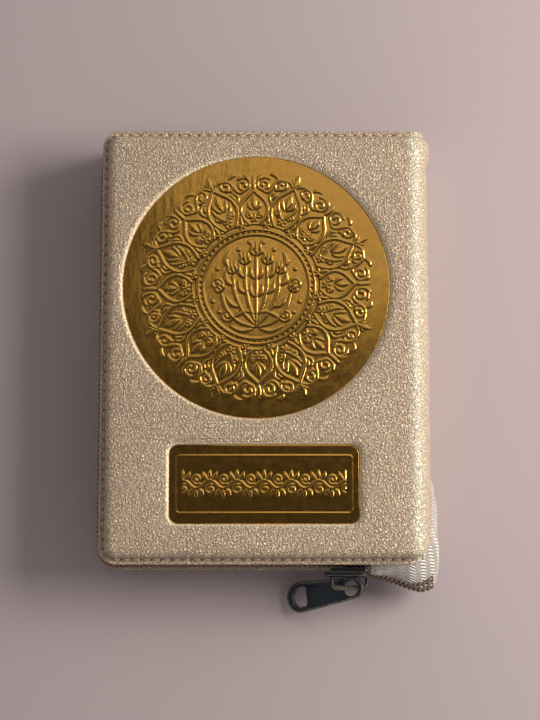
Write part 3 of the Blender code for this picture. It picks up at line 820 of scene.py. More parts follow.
def roll_profile(share):
    """Return (x, z, normal-x, normal-z) of the upper half of the spine, from cover to mid-height."""
    if share < ROLL_SHARE:
        turn = math.pi / 2 * (1 - share / ROLL_SHARE)
        x = ROLL_START_X + ROLL_WIDTH * math.cos(turn)
        z = TOP_Z - ROLL_HEIGHT + ROLL_HEIGHT * math.sin(turn)
        nx, nz = math.cos(turn) / ROLL_WIDTH, math.sin(turn) / ROLL_HEIGHT
        size = math.hypot(nx, nz)
        return x, z, nx / size, nz / size
    fall = (share - ROLL_SHARE) / (1 - ROLL_SHARE)
    z = TOP_Z - ROLL_HEIGHT + (MIDDLE_Z - TOP_Z + ROLL_HEIGHT) * fall
    x = ROLL_START_X + ROLL_WIDTH + 0.18 * math.sin(math.pi / 2 * fall)
    return x, z, 1.0, 0.0


def spine_leather(name, up, material):
    """Build half of the spine's leather, from a cover's flat face to mid-height."""
    rows = 34
    length_steps = 70
    inner = HALF_HEIGHT - FACE_INSET
    points = []
    for row in range(rows):
        share = row / (rows - 1)
        x, z, nx, nz = roll_profile(share)
        soften = 1.0 - 0.6 * float(ease(share, 0.05, 0.6))
        foot_shift = 4.2 * float(ease(share, 0.16, 0.72))
        head_shift = 0.5 * float(ease(share, 0.2, 0.8))
        line = [(-HALF_HEIGHT + inset, depth, foot_shift) for inset, depth in EDGE_SECTION]
        line += [(-inner + 2 * inner * i / length_steps, 0.0, None) for i in range(1, length_steps)]
        line += [(HALF_HEIGHT - inset, depth, -head_shift) for inset, depth in EDGE_SECTION[::-1]]
        for y, depth, shift in line:
            if shift is None:
                along = (y + inner) / (2 * inner)
                shift = foot_shift * (1 - ease(along, 0.0, 0.22)) - head_shift * ease(along, 0.85, 1.0)
            y += float(shift)
            wave = noise.noise(Vector((share * 2.0, y * 0.05, 9.0))) * 0.30
            wave *= float(ease(share, 0.0, 0.4))
            tuck = 1.0 * math.exp(-((y - 63.5) / 4.5) ** 2) * float(ease(share, 0.15, 0.6))
            fold = -0.5 * math.exp(-((y - 54.5 - 4.0 * share) / 1.0) ** 2) * float(ease(share, 0.2, 0.5))
            out = wave + tuck + fold - depth * soften
            px, pz = x + nx * out, z + nz * out
            points.append((px, y, pz if up else TOP_Z - pz))
    columns = len(points) // rows
    faces = band_faces(rows, columns, wrap=True, flip=not up)
    return make_piece(name, points, faces, material)


# ---------------------------------------------------------------- relief

def stroke_depth(points, strokes):
    """Return each point's distance outside a set of strokes; a stroke is rows of (x, y, radius)."""
    starts = np.concatenate([stroke[:-1] for stroke in strokes])
    ends = np.concatenate([stroke[1:] for stroke in strokes])
    run = ends[:, :2] - starts[:, :2]
    size = np.maximum((run ** 2).sum(1), 1e-12)
    found = np.empty(len(points), np.float32)
    chunk = 3000
    for first in range(0, len(points), chunk):
        p = points[first:first + chunk]
        rel = p[:, None, :] - starts[None, :, :2]
        t = np.clip((rel * run[None]).sum(2) / size[None], 0.0, 1.0)
        gap = np.hypot(rel[:, :, 0] - t * run[None, :, 0], rel[:, :, 1] - t * run[None, :, 1])
        gap -= starts[None, :, 2] + t * (ends - starts)[None, :, 2]
        found[first:first + chunk] = gap.min(1)
    return found


def stroke(points, width, tip, steps=8):
    """Return a tapering stroke through a few points; width is its greatest half-width."""
    curve = smooth_curve(points, steps)
    share = np.linspace(0.0, 1.0, len(curve))
    radius = width * (tip + (1 - tip) * np.sin(math.pi * share))
    return np.column_stack([curve, radius])


LEAF_TIP = 0.12  # a leaf's half-width at its ends, as a share of its greatest


def leaf(points, width):
    """Return a pointed leaf along a few points."""
    return stroke(points, width, LEAF_TIP)


def curl(centre, radius, start, turns, width):
    """Return a spiral scroll that winds in to its centre; angles are in degrees."""
    share = np.linspace(0.0, 1.0, CURL_STEPS)
    turn = np.radians(start + 360.0 * turns * share)
    reach = radius * (1 - (1 - CURL_END) * share)
    x = centre[0] + reach * np.cos(turn)
    y = centre[1] + reach * np.sin(turn)
    size = width * (0.75 + 0.55 * share ** 3)
    return np.column_stack([x, y, size])


# Half a repeat of the medallion's belt: (half-width, tip, (radius, degrees) of each point)
WEDGE_LINES = (
    # bud on the star's point
    (0.85, LEAF_TIP, (33.6, 0.0), (35.6, 0.0), (38.0, 0.0)),
    (0.42, LEAF_TIP, (34.6, 0.3), (35.4, 1.6), (36.3, 2.3)),
    # pointed arches round the axis, and round the line between two axes
    (0.50, 0.8, (20.4, 5.5), (23.0, 9.2), (26.0, 10.2), (29.2, 7.6), (31.6, 3.2), (33.6, 0.0)),
    (0.46, 0.8, (20.4, 17.0), (22.6, 13.4), (25.2, 12.6), (27.8, 15.6), (29.8, 20.2), (31.0, 22.5)),
    # stems of the paired scrolls under the rim, and their leaves
    (0.45, 0.7, (33.9, 0.9), (34.9, 2.6), (35.3, 5.2), (34.9, 8.4)),
    (0.42, 0.7, (34.9, 8.4), (33.6, 10.6), (31.8, 12.0), (30.6, 14.2), (31.2, 17.6)),
    (0.72, LEAF_TIP, (31.0, 22.5), (33.4, 22.5), (35.6, 22.5)),
    (0.48, LEAF_TIP, (33.4, 20.9), (34.9, 19.6), (36.0, 17.6)),
    (0.50, LEAF_TIP, (35.2, 9.4), (36.3, 11.4), (36.4, 13.8)),
    (0.45, LEAF_TIP, (31.2, 10.0), (32.0, 8.2), (31.6, 6.2)),
    # leaves and buds inside the arches
    (0.95, LEAF_TIP, (26.2, 0.0), (28.9, 0.0), (31.2, 0.0)),
    (0.52, LEAF_TIP, (25.9, 1.0), (27.6, 3.6), (29.3, 4.4)),
    (0.36, 0.6, (22.6, 0.0), (24.0, 2.6), (26.0, 5.4), (27.9, 6.2)),
    (0.80, LEAF_TIP, (25.0, 22.5), (27.0, 22.5), (28.9, 22.5)),
    (0.44, LEAF_TIP, (24.6, 21.4), (26.0, 18.9), (27.2, 18.6)),
    # vine from arch to arch
    (0.36, 0.6, (27.0, 10.6), (28.4, 12.4), (29.6, 12.4), (30.5, 10.6)),
    (0.42, LEAF_TIP, (28.3, 10.6), (29.6, 9.4), (30.3, 7.6)),
    (0.50, LEAF_TIP, (20.6, 10.2), (22.0, 11.2), (23.4, 11.2)),
)
# (radius and degrees of the centre, size, start in degrees, turns, half-width)
WEDGE_CURLS = (
    (33.4, 6.9, 2.3, 150.0, -1.35, 0.42), (33.0, 16.8, 2.5, -20.0, 1.4, 0.42),
    (24.4, 5.3, 1.15, 200.0, 1.2, 0.30), (23.0, 18.6, 1.0, 30.0, -1.2, 0.30),
)
ROSETTES = ((22.0, 0.0), (22.0, 22.5), (19.9, 11.25))  # (radius, degrees) near the inner ring
REPEATS = 8
STAR_TURN = 24.0  # degrees that the star is turned by

# Half of the centre's flower spray, on the side of positive x: (half-width, tip, points)
SPRAY_LINES = (
    (0.46, 0.8, (0.0, -12.6), (0.0, -4.0), (0.0, 4.0), (0.0, 9.0)),
    (0.44, 0.7, (0.5, -11.0), (2.4, -5.0), (3.4, 1.0), (3.3, 6.2)),
    (0.44, 0.7, (0.7, -12.0), (4.4, -7.6), (6.8, -1.6), (7.2, 3.2)),
    (0.44, 0.7, (0.9, -12.9), (5.6, -11.2), (9.2, -7.4), (10.8, -2.6)),
    (0.46, 0.5, (0.4, -8.6), (3.2, -8.0), (6.2, -9.4), (8.4, -11.0)),
    (0.62, LEAF_TIP, (3.5, 2.6), (5.2, 4.4), (5.4, 7.0)),
    (0.66, LEAF_TIP, (7.2, 0.2), (9.2, 1.8), (9.6, 4.6)),
    (0.60, LEAF_TIP, (2.9, -2.4), (5.0, -1.0), (5.6, 1.4)),
    (0.62, LEAF_TIP, (5.0, -6.6), (7.6, -5.8), (9.4, -3.6)),
    (0.58, LEAF_TIP, (0.1, -3.6), (1.6, -1.8), (1.9, 0.6)),
    (0.56, LEAF_TIP, (0.1, 2.2), (1.5, 3.8), (1.7, 6.0)),
    (0.60, LEAF_TIP, (1.2, -13.6), (4.6, -14.2), (8.0, -12.8)),
    (0.70, LEAF_TIP, (8.8, 6.2), (9.6, 8.4), (8.6, 10.8)),
)
SPRAY_CURLS = (((9.0, -9.2), 1.9, -110.0, 1.3, 0.40), ((12.4, 0.8), 2.0, 210.0, -1.3, 0.40))
FLOWERS = ((0.0, 10.2, 1.35, 0.0), (3.4, 7.4, 1.15, -8.0), (7.2, 4.4, 1.10, -16.0),
           (11.0, -1.4, 1.00, -34.0))  # (x, y, size, lean in degrees)
PEARLS = ((5.6, 11.8), (2.2, 14.2), (12.2, 5.6), (13.6, -4.8), (11.6, -8.2))
PEARL_RADIUS = 0.46


def polar(radius, degrees):
    """Return the point at a radius and an angle."""
    return radius * math.cos(math.radians(degrees)), radius * math.sin(math.radians(degrees))


def wedge_strokes():
    """Return the ornament of half a repeat, between an axis of the star and the next."""
    strokes = [stroke([polar(*point) for point in points], width, tip)
               for width, tip, *points in WEDGE_LINES]
    strokes += [curl(polar(*row[:2]), *row[2:]) for row in WEDGE_CURLS]
    for reach, degrees in ROSETTES:
        cx, cy = polar(reach, degrees)
        for petal in range(5):
            turn = math.radians(72.0 * petal + degrees)
            far = (cx + 1.05 * math.cos(turn), cy + 1.05 * math.sin(turn))
            strokes.append(np.array([[cx, cy, 0.16], [*far, 0.38]]))
    return strokes


def flower(x, y, size, lean):
    """Return a tulip's three petals."""
    cos, sin = math.cos(math.radians(lean)), math.sin(math.radians(lean))

    def turned(px, py):
        return x + size * (px * cos - py * sin), y + size * (px * sin + py * cos)

    made = [leaf([turned(0.0, -0.2), turned(0.0, 1.4), turned(0.0, 2.9)], 0.50 * size)]
    for side in (-1, 1):
        made.append(leaf([turned(0.0, -0.3), turned(side * 1.15, 0.7), turned(side * 0.85, 2.0),
                          turned(side * 1.25, 2.9)], 0.40 * size))
    return made


def spray_strokes():
    """Return half of the centre's flower spray, on the side of positive x."""
    strokes = [stroke(points, width, tip) for width, tip, *points in SPRAY_LINES]
    strokes += [curl(*row) for row in SPRAY_CURLS]
    for row in FLOWERS:
        strokes += flower(*row)
    strokes += [np.array([[x, y, PEARL_RADIUS], [x + 0.02, y, PEARL_RADIUS]]) for x, y in PEARLS]
    return strokes


def emboss(gap, dip=0.22):
    """Return a stroke's height from the distance outside it, with a shallow moat beside it."""
    moat = dip * np.exp(-((gap - 0.30) / 0.20) ** 2)
    return 1.0 - ease(gap, -0.40, 0.16) - moat


def ridge(distance, width, soft=0.22):
    """Return a rounded ridge's height from the distance to its middle line."""
    return 1.0 - ease(distance, width - soft, width + soft)


def medallion_relief(x, y):
    """Return the relief over the medallion, from 0 in the ground to 1 on the crests."""
    reach = np.hypot(x, y)
    turn = np.degrees(np.arctan2(y, x)) - STAR_TURN
    half = 180.0 / REPEATS
    folded = np.radians(np.abs((turn + half) % (2 * half) - half))
    star = np.stack([reach * np.cos(folded), reach * np.sin(folded)], 1)
    height = np.zeros(len(x))
    belt = (reach > 18.6) & (reach < 39.5)
    gap = stroke_depth(star[belt], wedge_strokes())
    height[belt] = emboss(gap - 0.05)
    core = reach < 16.2
    gap = stroke_depth(np.stack([np.abs(x[core]), y[core]], 1), spray_strokes())
    height[core] = emboss(gap - 0.10)
    for radius in (18.3, 16.7):
        height = np.maximum(height, 0.9 * ridge(np.abs(reach - radius), 0.34))
    rope = 0.5 + 0.5 * np.cos(np.radians(turn) * 60 + (reach - 17.5) * 3.0)
    height = np.maximum(height, 0.55 * rope * ridge(np.abs(reach - 17.5), 0.30, 0.2))
    scallop = 19.6 + 0.55 * np.abs(np.cos(np.radians(turn) * REPEATS))
    height = np.maximum(height, 0.5 * ridge(np.abs(reach - scallop), 0.22, 0.18))
    return height


def plate_relief(x, y):
    """Return the relief over the name plate: a frame line round a running vine."""
    half_x, half_y = PLATE_SIZE.x / 2, PLATE_SIZE.y / 2
    corner = 1.0
    dx = np.abs(x) - half_x + 2.2 + corner
    dy = np.abs(y) - half_y + 3.4 + corner
    outside = np.hypot(np.maximum(dx, 0), np.maximum(dy, 0)) + np.minimum(np.maximum(dx, dy), 0) - corner
    height = 0.7 * ridge(np.abs(outside), 0.16, 0.15)
    period = 8.4
    band = (np.abs(y) < 5.0) & (np.abs(x) < 3 * period)
    strokes = []
    for shift in (-period, 0.0, period):
        for side in (1.0, -1.0):
            base = shift + (0.0 if side > 0 else period / 2)
            strokes += [
                leaf([(base, 1.5 * side), (base, 2.9 * side), (base, 4.3 * side)], 0.55),
                leaf([(base + 0.5, 1.4 * side), (base + 1.6, 2.3 * side), (base + 2.2, 3.7 * side)], 0.60),
                leaf([(base - 0.5, 1.4 * side), (base - 1.6, 2.3 * side), (base - 2.2, 3.7 * side)], 0.60),
                curl((base + 0.2, -1.6 * side), 1.7, 60.0 * side, 1.25 * side, 0.36),
            ]
        wave = [(shift + period * (i / 8 - 0.5), 1.3 * math.cos(2 * math.pi * (i / 8 - 0.5)))
                for i in range(9)]
        strokes.append(stroke(wave, 0.42, 0.95, 4))
    local = (x[band] + period / 2) % period - period / 2
    gap = stroke_depth(np.stack([local, y[band]], 1), strokes)
    height[band] = emboss(gap - 0.05, 0.08)
    return height


def disc_grid(radius, spacing):
    """Return a square grid bent into a disc, as (x, y) and its points a side."""
    count = int(2 * radius / spacing) // 2 * 2 + 1
    side = np.linspace(-1.0, 1.0, count)
    u, v = np.meshgrid(side, side)
    u, v = u.ravel(), v.ravel()
    x = u * np.sqrt(1 - v * v / 2)
    y = v * np.sqrt(1 - u * u / 2)
    return radius * x, radius * y, count


def rim_of(count_x, count_y):
    """Return the numbers of a grid's edge points, in order."""
    bottom = list(range(count_x))
    right = [row * count_x + count_x - 1 for row in range(1, count_y)]
    top = [(count_y - 1) * count_x + column for column in range(count_x - 2, -1, -1)]
    left = [row * count_x for row in range(count_y - 2, 0, -1)]
    return bottom + right + top + left


def foil_piece(name, x, y, count_x, count_y, height, centre, face_z, back_z, outward, material):
    """Make a foil insert: its relief, a turned-down rim and a back."""
    relief = bpy.context.scene.book_foil.relief / MM
    wave = np.array([noise.noise(Vector((px * 0.035, py * 0.035, 1.3))) for px, py in
                     zip(x + centre.x, y + centre.y)])
    z = face_z + 0.10 * wave + relief * height
    points = np.column_stack([x + centre.x, y + centre.y, z])
    rim = rim_of(count_x, count_y)
    edge = points[rim]
    flat = outward(x[rim], y[rim])
    low = []
    for reach, drop in ((0.10, 0.03), (0.18, 0.14), (0.20, 0.40), (0.20, face_z - back_z)):
        ring = edge.copy()
        ring[:, :2] += flat * reach
        ring[:, 2] = face_z - drop
        low.append(ring)
    faces = band_faces(count_y, count_x)
    total = len(points)
    size = len(rim)
    rows = [rim] + [list(range(total + i * size, total + (i + 1) * size)) for i in range(len(low))]
    for upper, lower in zip(rows, rows[1:]):
        for i in range(size):
            j = (i + 1) % size
            faces.append((upper[i], lower[i], lower[j], upper[j]))
    faces.append(tuple(rows[-1][::-1]))
    points = np.concatenate([points, *low])
    tone = np.concatenate([height, np.zeros(size * len(low))])
    return make_piece(name, points, faces, material, floats={"relief": tone})


# ---------------------------------------------------------------- operators

def fit(obj, body, nodes):
    """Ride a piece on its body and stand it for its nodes."""
    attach(obj, body)
    if nodes:
        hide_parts(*nodes)


def bend(obj, body, start, end, nodes, slot):
    """Apply a piece's placing to its mesh and hide its nodes; the body and the two points in millimetres are
    not used.
    """
    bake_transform(obj)
    if nodes:
        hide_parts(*nodes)


def build_cover(side, up):
    """Build one cover's leather and its stitching, and return the leather."""
    pitch = bpy.context.scene.book_leather.stitch / MM
    skin = cover_leather(side + "_leather", up, pearl_leather(), pitch)
    fit(skin, side + "_case", [side + "_skin"])
    thread = stitch_row(side + "_stitching", up, sewing_thread(), pitch)
    fit(thread, side + "_case", [])
    return skin


class BOOK_OT_front_cover(bpy.types.Operator):
    """Build the front cover's padded leather and its stitching"""
    bl_idname = "prayer_book.front_cover"
    bl_label = "Front Cover"

    def execute(self, context):
        build_cover("front", True)
        return {"FINISHED"}


class BOOK_OT_back_cover(bpy.types.Operator):
    """Build the back cover's leather and its stitching"""
    bl_idname = "prayer_book.back_cover"
    bl_label = "Back Cover"

    def execute(self, context):
        build_cover("back", False)
        return {"FINISHED"}


class BOOK_OT_spine(bpy.types.Operator):
    """Build the leather that rolls from both covers over the spine"""
    bl_idname = "prayer_book.spine"
    bl_label = "Spine Leather"

    def execute(self, context):
        high = (ROLL_START_X + 1.2, TOP_Z - 0.1)
        low = (SPINE_X + 0.2, TOP_Z - 6.5)
        upper = spine_leather("spine_leather_upper", True, pearl_leather())
        bend(upper, "front_case", (high[0], 0.0, high[1]), (low[0], 0.0, low[1]),
             ["spine_skin"], "cover_leather")
        lower = spine_leather("spine_leather_lower", False, pearl_leather())
        bend(lower, "back_case", (high[0], 0.0, TOP_Z - high[1]), (low[0], 0.0, TOP_Z - low[1]),
             [], "cover_leather")
        return {"FINISHED"}


class BOOK_OT_foils(bpy.types.Operator):
    """Build the stamped foil medallion and name plate"""
    bl_idname = "prayer_book.foils"
    bl_label = "Foil Inserts"

    def execute(self, context):
        spacing = context.scene.book_foil.spacing / MM * 1.0
        x, y, count = disc_grid(MEDAL_RADIUS - INSERT_GAP, spacing)
        height = medallion_relief(x, y)

        def away(px, py):
            size = np.hypot(px, py)
            return np.stack([px / size, py / size], 1)

        disc = foil_piece("foil_medallion", x, y, count, count, height, MEDAL_CENTRE,
                          MEDAL_HIGH.z - INSERT_SINK, MEDAL_LOW.z, away, gold_foil())
        fit(disc, "front_case", ["medallion"])

        half_x, half_y = PLATE_SIZE.x / 2 - INSERT_GAP, PLATE_SIZE.y / 2 - INSERT_GAP
        columns = int(2 * half_x / spacing)
        rows = int(2 * half_y / spacing)
        u, v = np.meshgrid(np.linspace(-1.0, 1.0, columns), np.linspace(-1.0, 1.0, rows))
        u, v = u.ravel() * half_x, v.ravel() * half_y
        corner = PLATE_CORNER
        dx, dy = np.abs(u) - half_x + corner, np.abs(v) - half_y + corner
        in_corner = (dx > 0) & (dy > 0)
        longest = np.maximum(dx, dy)
        size = np.hypot(dx, dy)
        squeeze = np.where(in_corner, longest / np.maximum(size, 1e-9), 1.0)
        u = np.where(in_corner, np.sign(u) * (half_x - corner + dx * squeeze), u)
        v = np.where(in_corner, np.sign(v) * (half_y - corner + dy * squeeze), v)

        def outward(px, py):
            ax = np.maximum(np.abs(px) - half_x + corner, 0) * np.sign(px)
            ay = np.maximum(np.abs(py) - half_y + corner, 0) * np.sign(py)
            size = np.maximum(np.hypot(ax, ay), 1e-9)
            return np.stack([ax / size, ay / size], 1)

        plate = foil_piece("foil_name_plate", u, v, columns, rows, plate_relief(u, v), PLATE_CENTRE,
                           PLATE_HIGH.z - INSERT_SINK, PLATE_LOW.z, outward, gold_foil())
        fit(plate, "front_case", ["name_plate"])
        return {"FINISHED"}


class BOOK_OT_leaves(bpy.types.Operator):
    """Build the packets of leaves, sheet by sheet"""
    bl_idname = "prayer_book.leaves"
    bl_label = "Leaves"

    def execute(self, context):
        noise.seed_set(LEAF_SEED)
        sheets = context.scene.book_leaves.sheets
        for node, body in (("back_pages", "back_case"), ("middle_pages", "middle_leaves"),
                           ("front_pages", "front_leaves")):
            low, high = box_mm(node)
            block = Gather()
            step = (high.z - low.z) / sheets
            for index in range(sheets):
                jitter = noise.noise_vector(Vector((index * 0.73, low.z, 0.5))) * 0.16
                fore = low.x + 0.12 + abs(jitter.x)
                head = high.y - 0.12 - abs(jitter.y)
                centre = ((fore + high.x) / 2, 0.0)
                size = (high.x - fore, 2 * head)
                slack = 0.10 * step
                rings = []
                for inset, share in ((0.05, 0.0), (0.0, 0.25), (0.0, 0.75), (0.05, 1.0)):
                    ring = rounded_loop(centre, size, LEAF_CORNER, -inset, LEAF_STEP, 5)
                    z = low.z + index * step + slack / 2 + (step - slack) * share
                    rings.append(np.column_stack([ring, np.full(len(ring), z)]))
                count = len(ring)
                faces = band_faces(4, count, wrap=True)
                faces += [tuple(range(count))[::-1], tuple(range(3 * count, 4 * count))]
                tone = 0.5 + 0.5 * noise.noise(Vector((index * 1.31, low.z, 7.7)))
                block.add(np.concatenate(rings), faces, tone)
            piece = make_piece(node.replace("pages", "leaves"), block.all_points(), block.faces,
                               leaf_paper(), False, floats={"sheet_tone": np.concatenate(block.extra)})
            fit(piece, body, [node])
        return {"FINISHED"}


ZIP_FOOT_X = 34.0  # where the sewn part of the zip ends at the foot
COIL_INNER = 0.5  # how far the coil reaches inside the covers' edge
FOOT_RECESS = 1.25  # the closed zip lies this much deeper along the foot


def zip_recess(edge, distance):
    """Return how much deeper the zip lies at a distance along the edge."""
    corner = edge.parts[1]
    head = edge.parts[4]
    at_foot = 1.0 - float(ease(distance, corner - 6.0, corner + 14.0))
    at_head = float(ease(distance, head - 20.0, head))
    return FOOT_RECESS * at_foot + 0.6 * at_head


class BOOK_OT_zip_coils(bpy.types.Operator):
    """Wind both zip coils round the foot, fore-edge and head"""
    bl_idname = "prayer_book.zip_coils"
    bl_label = "Zip Coils"

    def execute(self, context):
        pitch = context.scene.book_zip.pitch / MM
        wire = context.scene.book_zip.wire / MM
        for half, body, phase in (("lower", "back_case", 0.0), ("upper", "front_case", 0.5)):
            low, high = box_mm(half + "_zip_coil")
            foot_x = box_mm("slider_body")[1].x + 1.0
            edge = Edge(foot_x, high.x)
            stations = np.arange(0.0, edge.length, pitch / COIL_STEPS)
            outer, inner = low.x - FORE_X, COIL_INNER
            middle = (outer + inner) / 2
            depth = (inner - outer) / 2 - wire
            centre_z = (low.z + high.z) / 2
            tall = (high.z - low.z) / 2 - wire + 0.12
            path, core = [], []
            for s in stations:
                inset = middle + zip_recess(edge, s)
                x, y, _, _ = edge.at(s, inset)
                out_x, out_y, _, _ = edge.at(s, inset - 1.0)
                angle = 2 * math.pi * (s / pitch + phase)
                swing = depth * math.cos(angle)
                flat = math.copysign(abs(math.cos(angle)) ** 0.7, math.cos(angle)) * depth
                swing = 0.5 * (swing + flat)
                path.append((x + (out_x - x) * swing, y + (out_y - y) * swing,
                             centre_z + tall * math.sin(angle)))
                core.append((x, y, centre_z))
            points, faces = tube(path, wire, WIRE_SIDES, np.array(core) - np.array([0.0, 0.0, 1e-4]))
            coil = make_piece(half + "_coil", points, faces, coil_filament())
            fit(coil, body, [half + "_zip_coil"])
        return {"FINISHED"}


class BOOK_OT_zip_tapes(bpy.types.Operator):
    """Build both zip tapes with their herringbone weave"""
    bl_idname = "prayer_book.zip_tapes"
    bl_label = "Zip Tapes"

    def execute(self, context):
        for half, body, up in (("lower", "back_case", 1.0), ("upper", "front_case", -1.0)):
            node = half + "_zip_tape"
            low, high = box_mm(node)
            near, far = (low.z, high.z) if up > 0 else (high.z, low.z)
            section = [(0.8, far), (0.8, (near + far) / 2), (0.8, near + 0.2 * up), (1.0, near),
                       (5.0, near), (5.0, near + 0.4 * up), (1.6, near + 0.4 * up),
                       (1.5, near + 0.6 * up), (1.5, (near + far) / 2), (1.5, far)]
            edge = Edge(ZIP_FOOT_X, high.x)
            stations = edge.stations(1.0)
            points, marks = [], []
            across = 0.0
            for index, (inset, z) in enumerate(section):
                if index:
                    before = section[index - 1]
                    across += math.hypot(inset - before[0], z - before[1])
                for s in stations:
                    deeper = zip_recess(edge, s) if inset < 2.0 else 0.0
                    x, y, _, _ = edge.at(s, inset + deeper)
                    points.append((x, y, z))
                    marks.append((s, across))
            columns = len(stations)
            points += points[:columns]
            marks += [(s, across + 0.7) for s in stations]
            faces = band_faces(len(section) + 1, columns, flip=up > 0)
            tape = make_piece(half + "_tape", points, faces, tape_weave(), layers=marks)
            weld(tape)
            fit(tape, body, [node])
        return {"FINISHED"}


TAIL_UPPER = ((33.6, -68.6, 17.4), (37.0, -68.0, 19.2), (41.5, -67.2, 20.0), (45.5, -65.6, 20.2),
              (48.4, -63.2, 20.2), (50.4, -60.2, 20.2), (51.5, -57.0, 20.1), (51.9, -53.0, 19.8),
              (52.1, -49.0, 19.5), (52.0, -45.5, 19.0), (51.8, -42.0, 18.6))
TAIL_LOWER = ((33.6, -70.6, 12.6), (37.0, -71.6, 10.6), (41.5, -73.2, 9.0), (46.0, -75.2, 7.8),
              (49.6, -76.2, 7.2), (52.6, -75.2, 7.0), (54.3, -72.2, 7.0), (54.4, -67.5, 7.2),
              (53.9, -61.5, 7.8), (53.2, -54.0, 8.6), (52.7, -46.0, 9.6))
TAIL_STEPS = 14  # across the tape
TAIL_HALF_THICKNESS = 0.28
TAIL_BOW = 1.1
TAIL_COIL_LENGTH = 19.5
TAIL_BEND = ((49.0, -71.0, 13.0), (53.5, -66.0, 13.0))


def run_length(points):
    """Return the distance along a line at each of its points."""
    steps = np.linalg.norm(np.diff(points, axis=0), axis=1)
    return np.concatenate([[0.0], np.cumsum(steps)])


class BOOK_OT_zip_tail(bpy.types.Operator):
    """Build the zip's loose tape end that wraps the foot of the spine"""
    bl_idname = "prayer_book.zip_tail"
    bl_label = "Zip Tail"

    def execute(self, context):
        upper = smooth_curve(TAIL_UPPER, 10)
        lower = smooth_curve(TAIL_LOWER, 10)
        stations = len(upper)
        middle = (upper + lower) / 2
        along = run_length(middle)
        run = np.gradient(middle, axis=0)
        out = np.cross(run, upper - lower)
        out /= np.linalg.norm(out, axis=1)[:, None]
        points, marks = [], []
        for side in (1.0, -1.0):
            for step in range(TAIL_STEPS + 1):
                share = step / TAIL_STEPS
                if side < 0:
                    share = 1.0 - share
                bow = TAIL_BOW * math.sin(math.pi * share) ** 0.9
                for i in range(stations):
                    wave = 0.35 * math.sin(along[i] * 0.55 + share * 2.0) * math.sin(math.pi * share)
                    place = upper[i] + (lower[i] - upper[i]) * share
                    points.append(place + out[i] * (bow + wave + side * TAIL_HALF_THICKNESS))
                    marks.append((along[i], share * np.linalg.norm(lower[i] - upper[i])))
        rows = 2 * (TAIL_STEPS + 1)
        faces = band_faces(rows, stations)
        last = (rows - 1) * stations
        faces += [(last + i, last + i + 1, i + 1, i) for i in range(stations - 1)]
        for column in (0, stations - 1):
            ring = [row * stations + column for row in range(rows)]
            for k in range(TAIL_STEPS):
                quad = (ring[k], ring[k + 1], ring[rows - 2 - k], ring[rows - 1 - k])
                faces.append(quad if column else quad[::-1])
        tape = make_piece("zip_tail_tape", points, faces, tape_weave(), layers=marks)
        weld(tape)
        bend(tape, "back_case", *TAIL_BEND, ["zip_tail_foot", "zip_tail_spine"], "zip_tape")

        chain = Gather()
        pitch = context.scene.book_zip.pitch / MM
        wire = context.scene.book_zip.wire / MM
        seen = along < TAIL_COIL_LENGTH
        for row, inward in ((0, 0.10), (1, 0.24)):
            line = lower + (upper - lower) * inward + out * (0.75 + 0.9 * math.sin(math.pi * inward))
            line = line[seen]
            length = run_length(line)
            fine = np.arange(0.0, length[-1], pitch / COIL_STEPS)
            core, lift, side = (
                np.stack([np.interp(fine, length, rows[:, k]) for k in range(3)], 1)
                for rows in (line, out[seen], (upper - lower)[seen]))
            side /= np.linalg.norm(side, axis=1)[:, None]
            angle = 2 * math.pi * (fine / pitch + 0.5 * row)
            path = core + lift * (0.45 * np.cos(angle))[:, None] + side * (0.62 * np.sin(angle))[:, None]
            chain.add(*tube(path, wire * 0.9, WIRE_SIDES, core))
        coils = make_piece("zip_tail_coils", chain.all_points(), chain.faces, coil_filament())
        bend(coils, "back_case", *TAIL_BEND, ["zip_tail_chain"], "zip_coil")
        return {"FINISHED"}


TAB_SLOPE = math.radians(31.0)  # the tab hangs down from the bail towards the fore-edge
TAB_TURN = math.radians(6.5)
TAB_NEAR = (-1.0, 3.35)  # centre and radius of the end on the bail
TAB_FAR = (18.3, 4.9)
PLATE_EDGE = ((0.3, -0.5), (0.08, -0.42), (0.0, -0.22), (0.0, 0.22), (0.08, 0.42), (0.3, 0.5))
RAISED_RIM = ((0.6, 0.5), (0.75, 0.38))
HOLE_EDGE = ((0.2, -0.5), (0.05, -0.42), (0.0, -0.22), (0.0, 0.22), (0.05, 0.35), (0.12, 0.38))
SLOT_EDGE = ((0.2, -0.5), (0.05, -0.42), (0.0, -0.22), (0.0, 0.22), (0.05, 0.42), (0.2, 0.5),
             (0.4, 0.5), (0.55, 0.38))

TAB_WEAR = 0.6  # the tab is less worn than the slider
WING_CORNER = 3.0
LIP_Y = -70.1  # middle of the outer wing's turned-in lips
LIP_X = 26.4
LIP_SIZE = (11.4, 1.5)
POST_X = 28.7  # the post that joins the slider's wings
POST_SIZE = (6.4, 0.5)
BAIL_RADIUS = 0.56
BAIL_SIDES = 12


def arc_points(centre, radius, start, end, steps):
    """Return points of an arc; angles are in degrees."""
    turn = np.radians(np.linspace(start, end, steps))
    return np.stack([centre[0] + radius * np.cos(turn), centre[1] + radius * np.sin(turn)], 1)


def tab_outline(inset):
    """Return the tab's outline set in by an inset."""
    lean = math.degrees(math.asin((TAB_FAR[1] - TAB_NEAR[1]) / (TAB_FAR[0] - TAB_NEAR[0])))
    far = arc_points((TAB_FAR[0], 0.0), TAB_FAR[1] - inset, -90.0 - lean, 90.0 + lean, 34)
    near = arc_points((TAB_NEAR[0], 0.0), TAB_NEAR[1] - inset, 90.0 + lean, 270.0 - lean, 28)
    return np.concatenate([far, near])


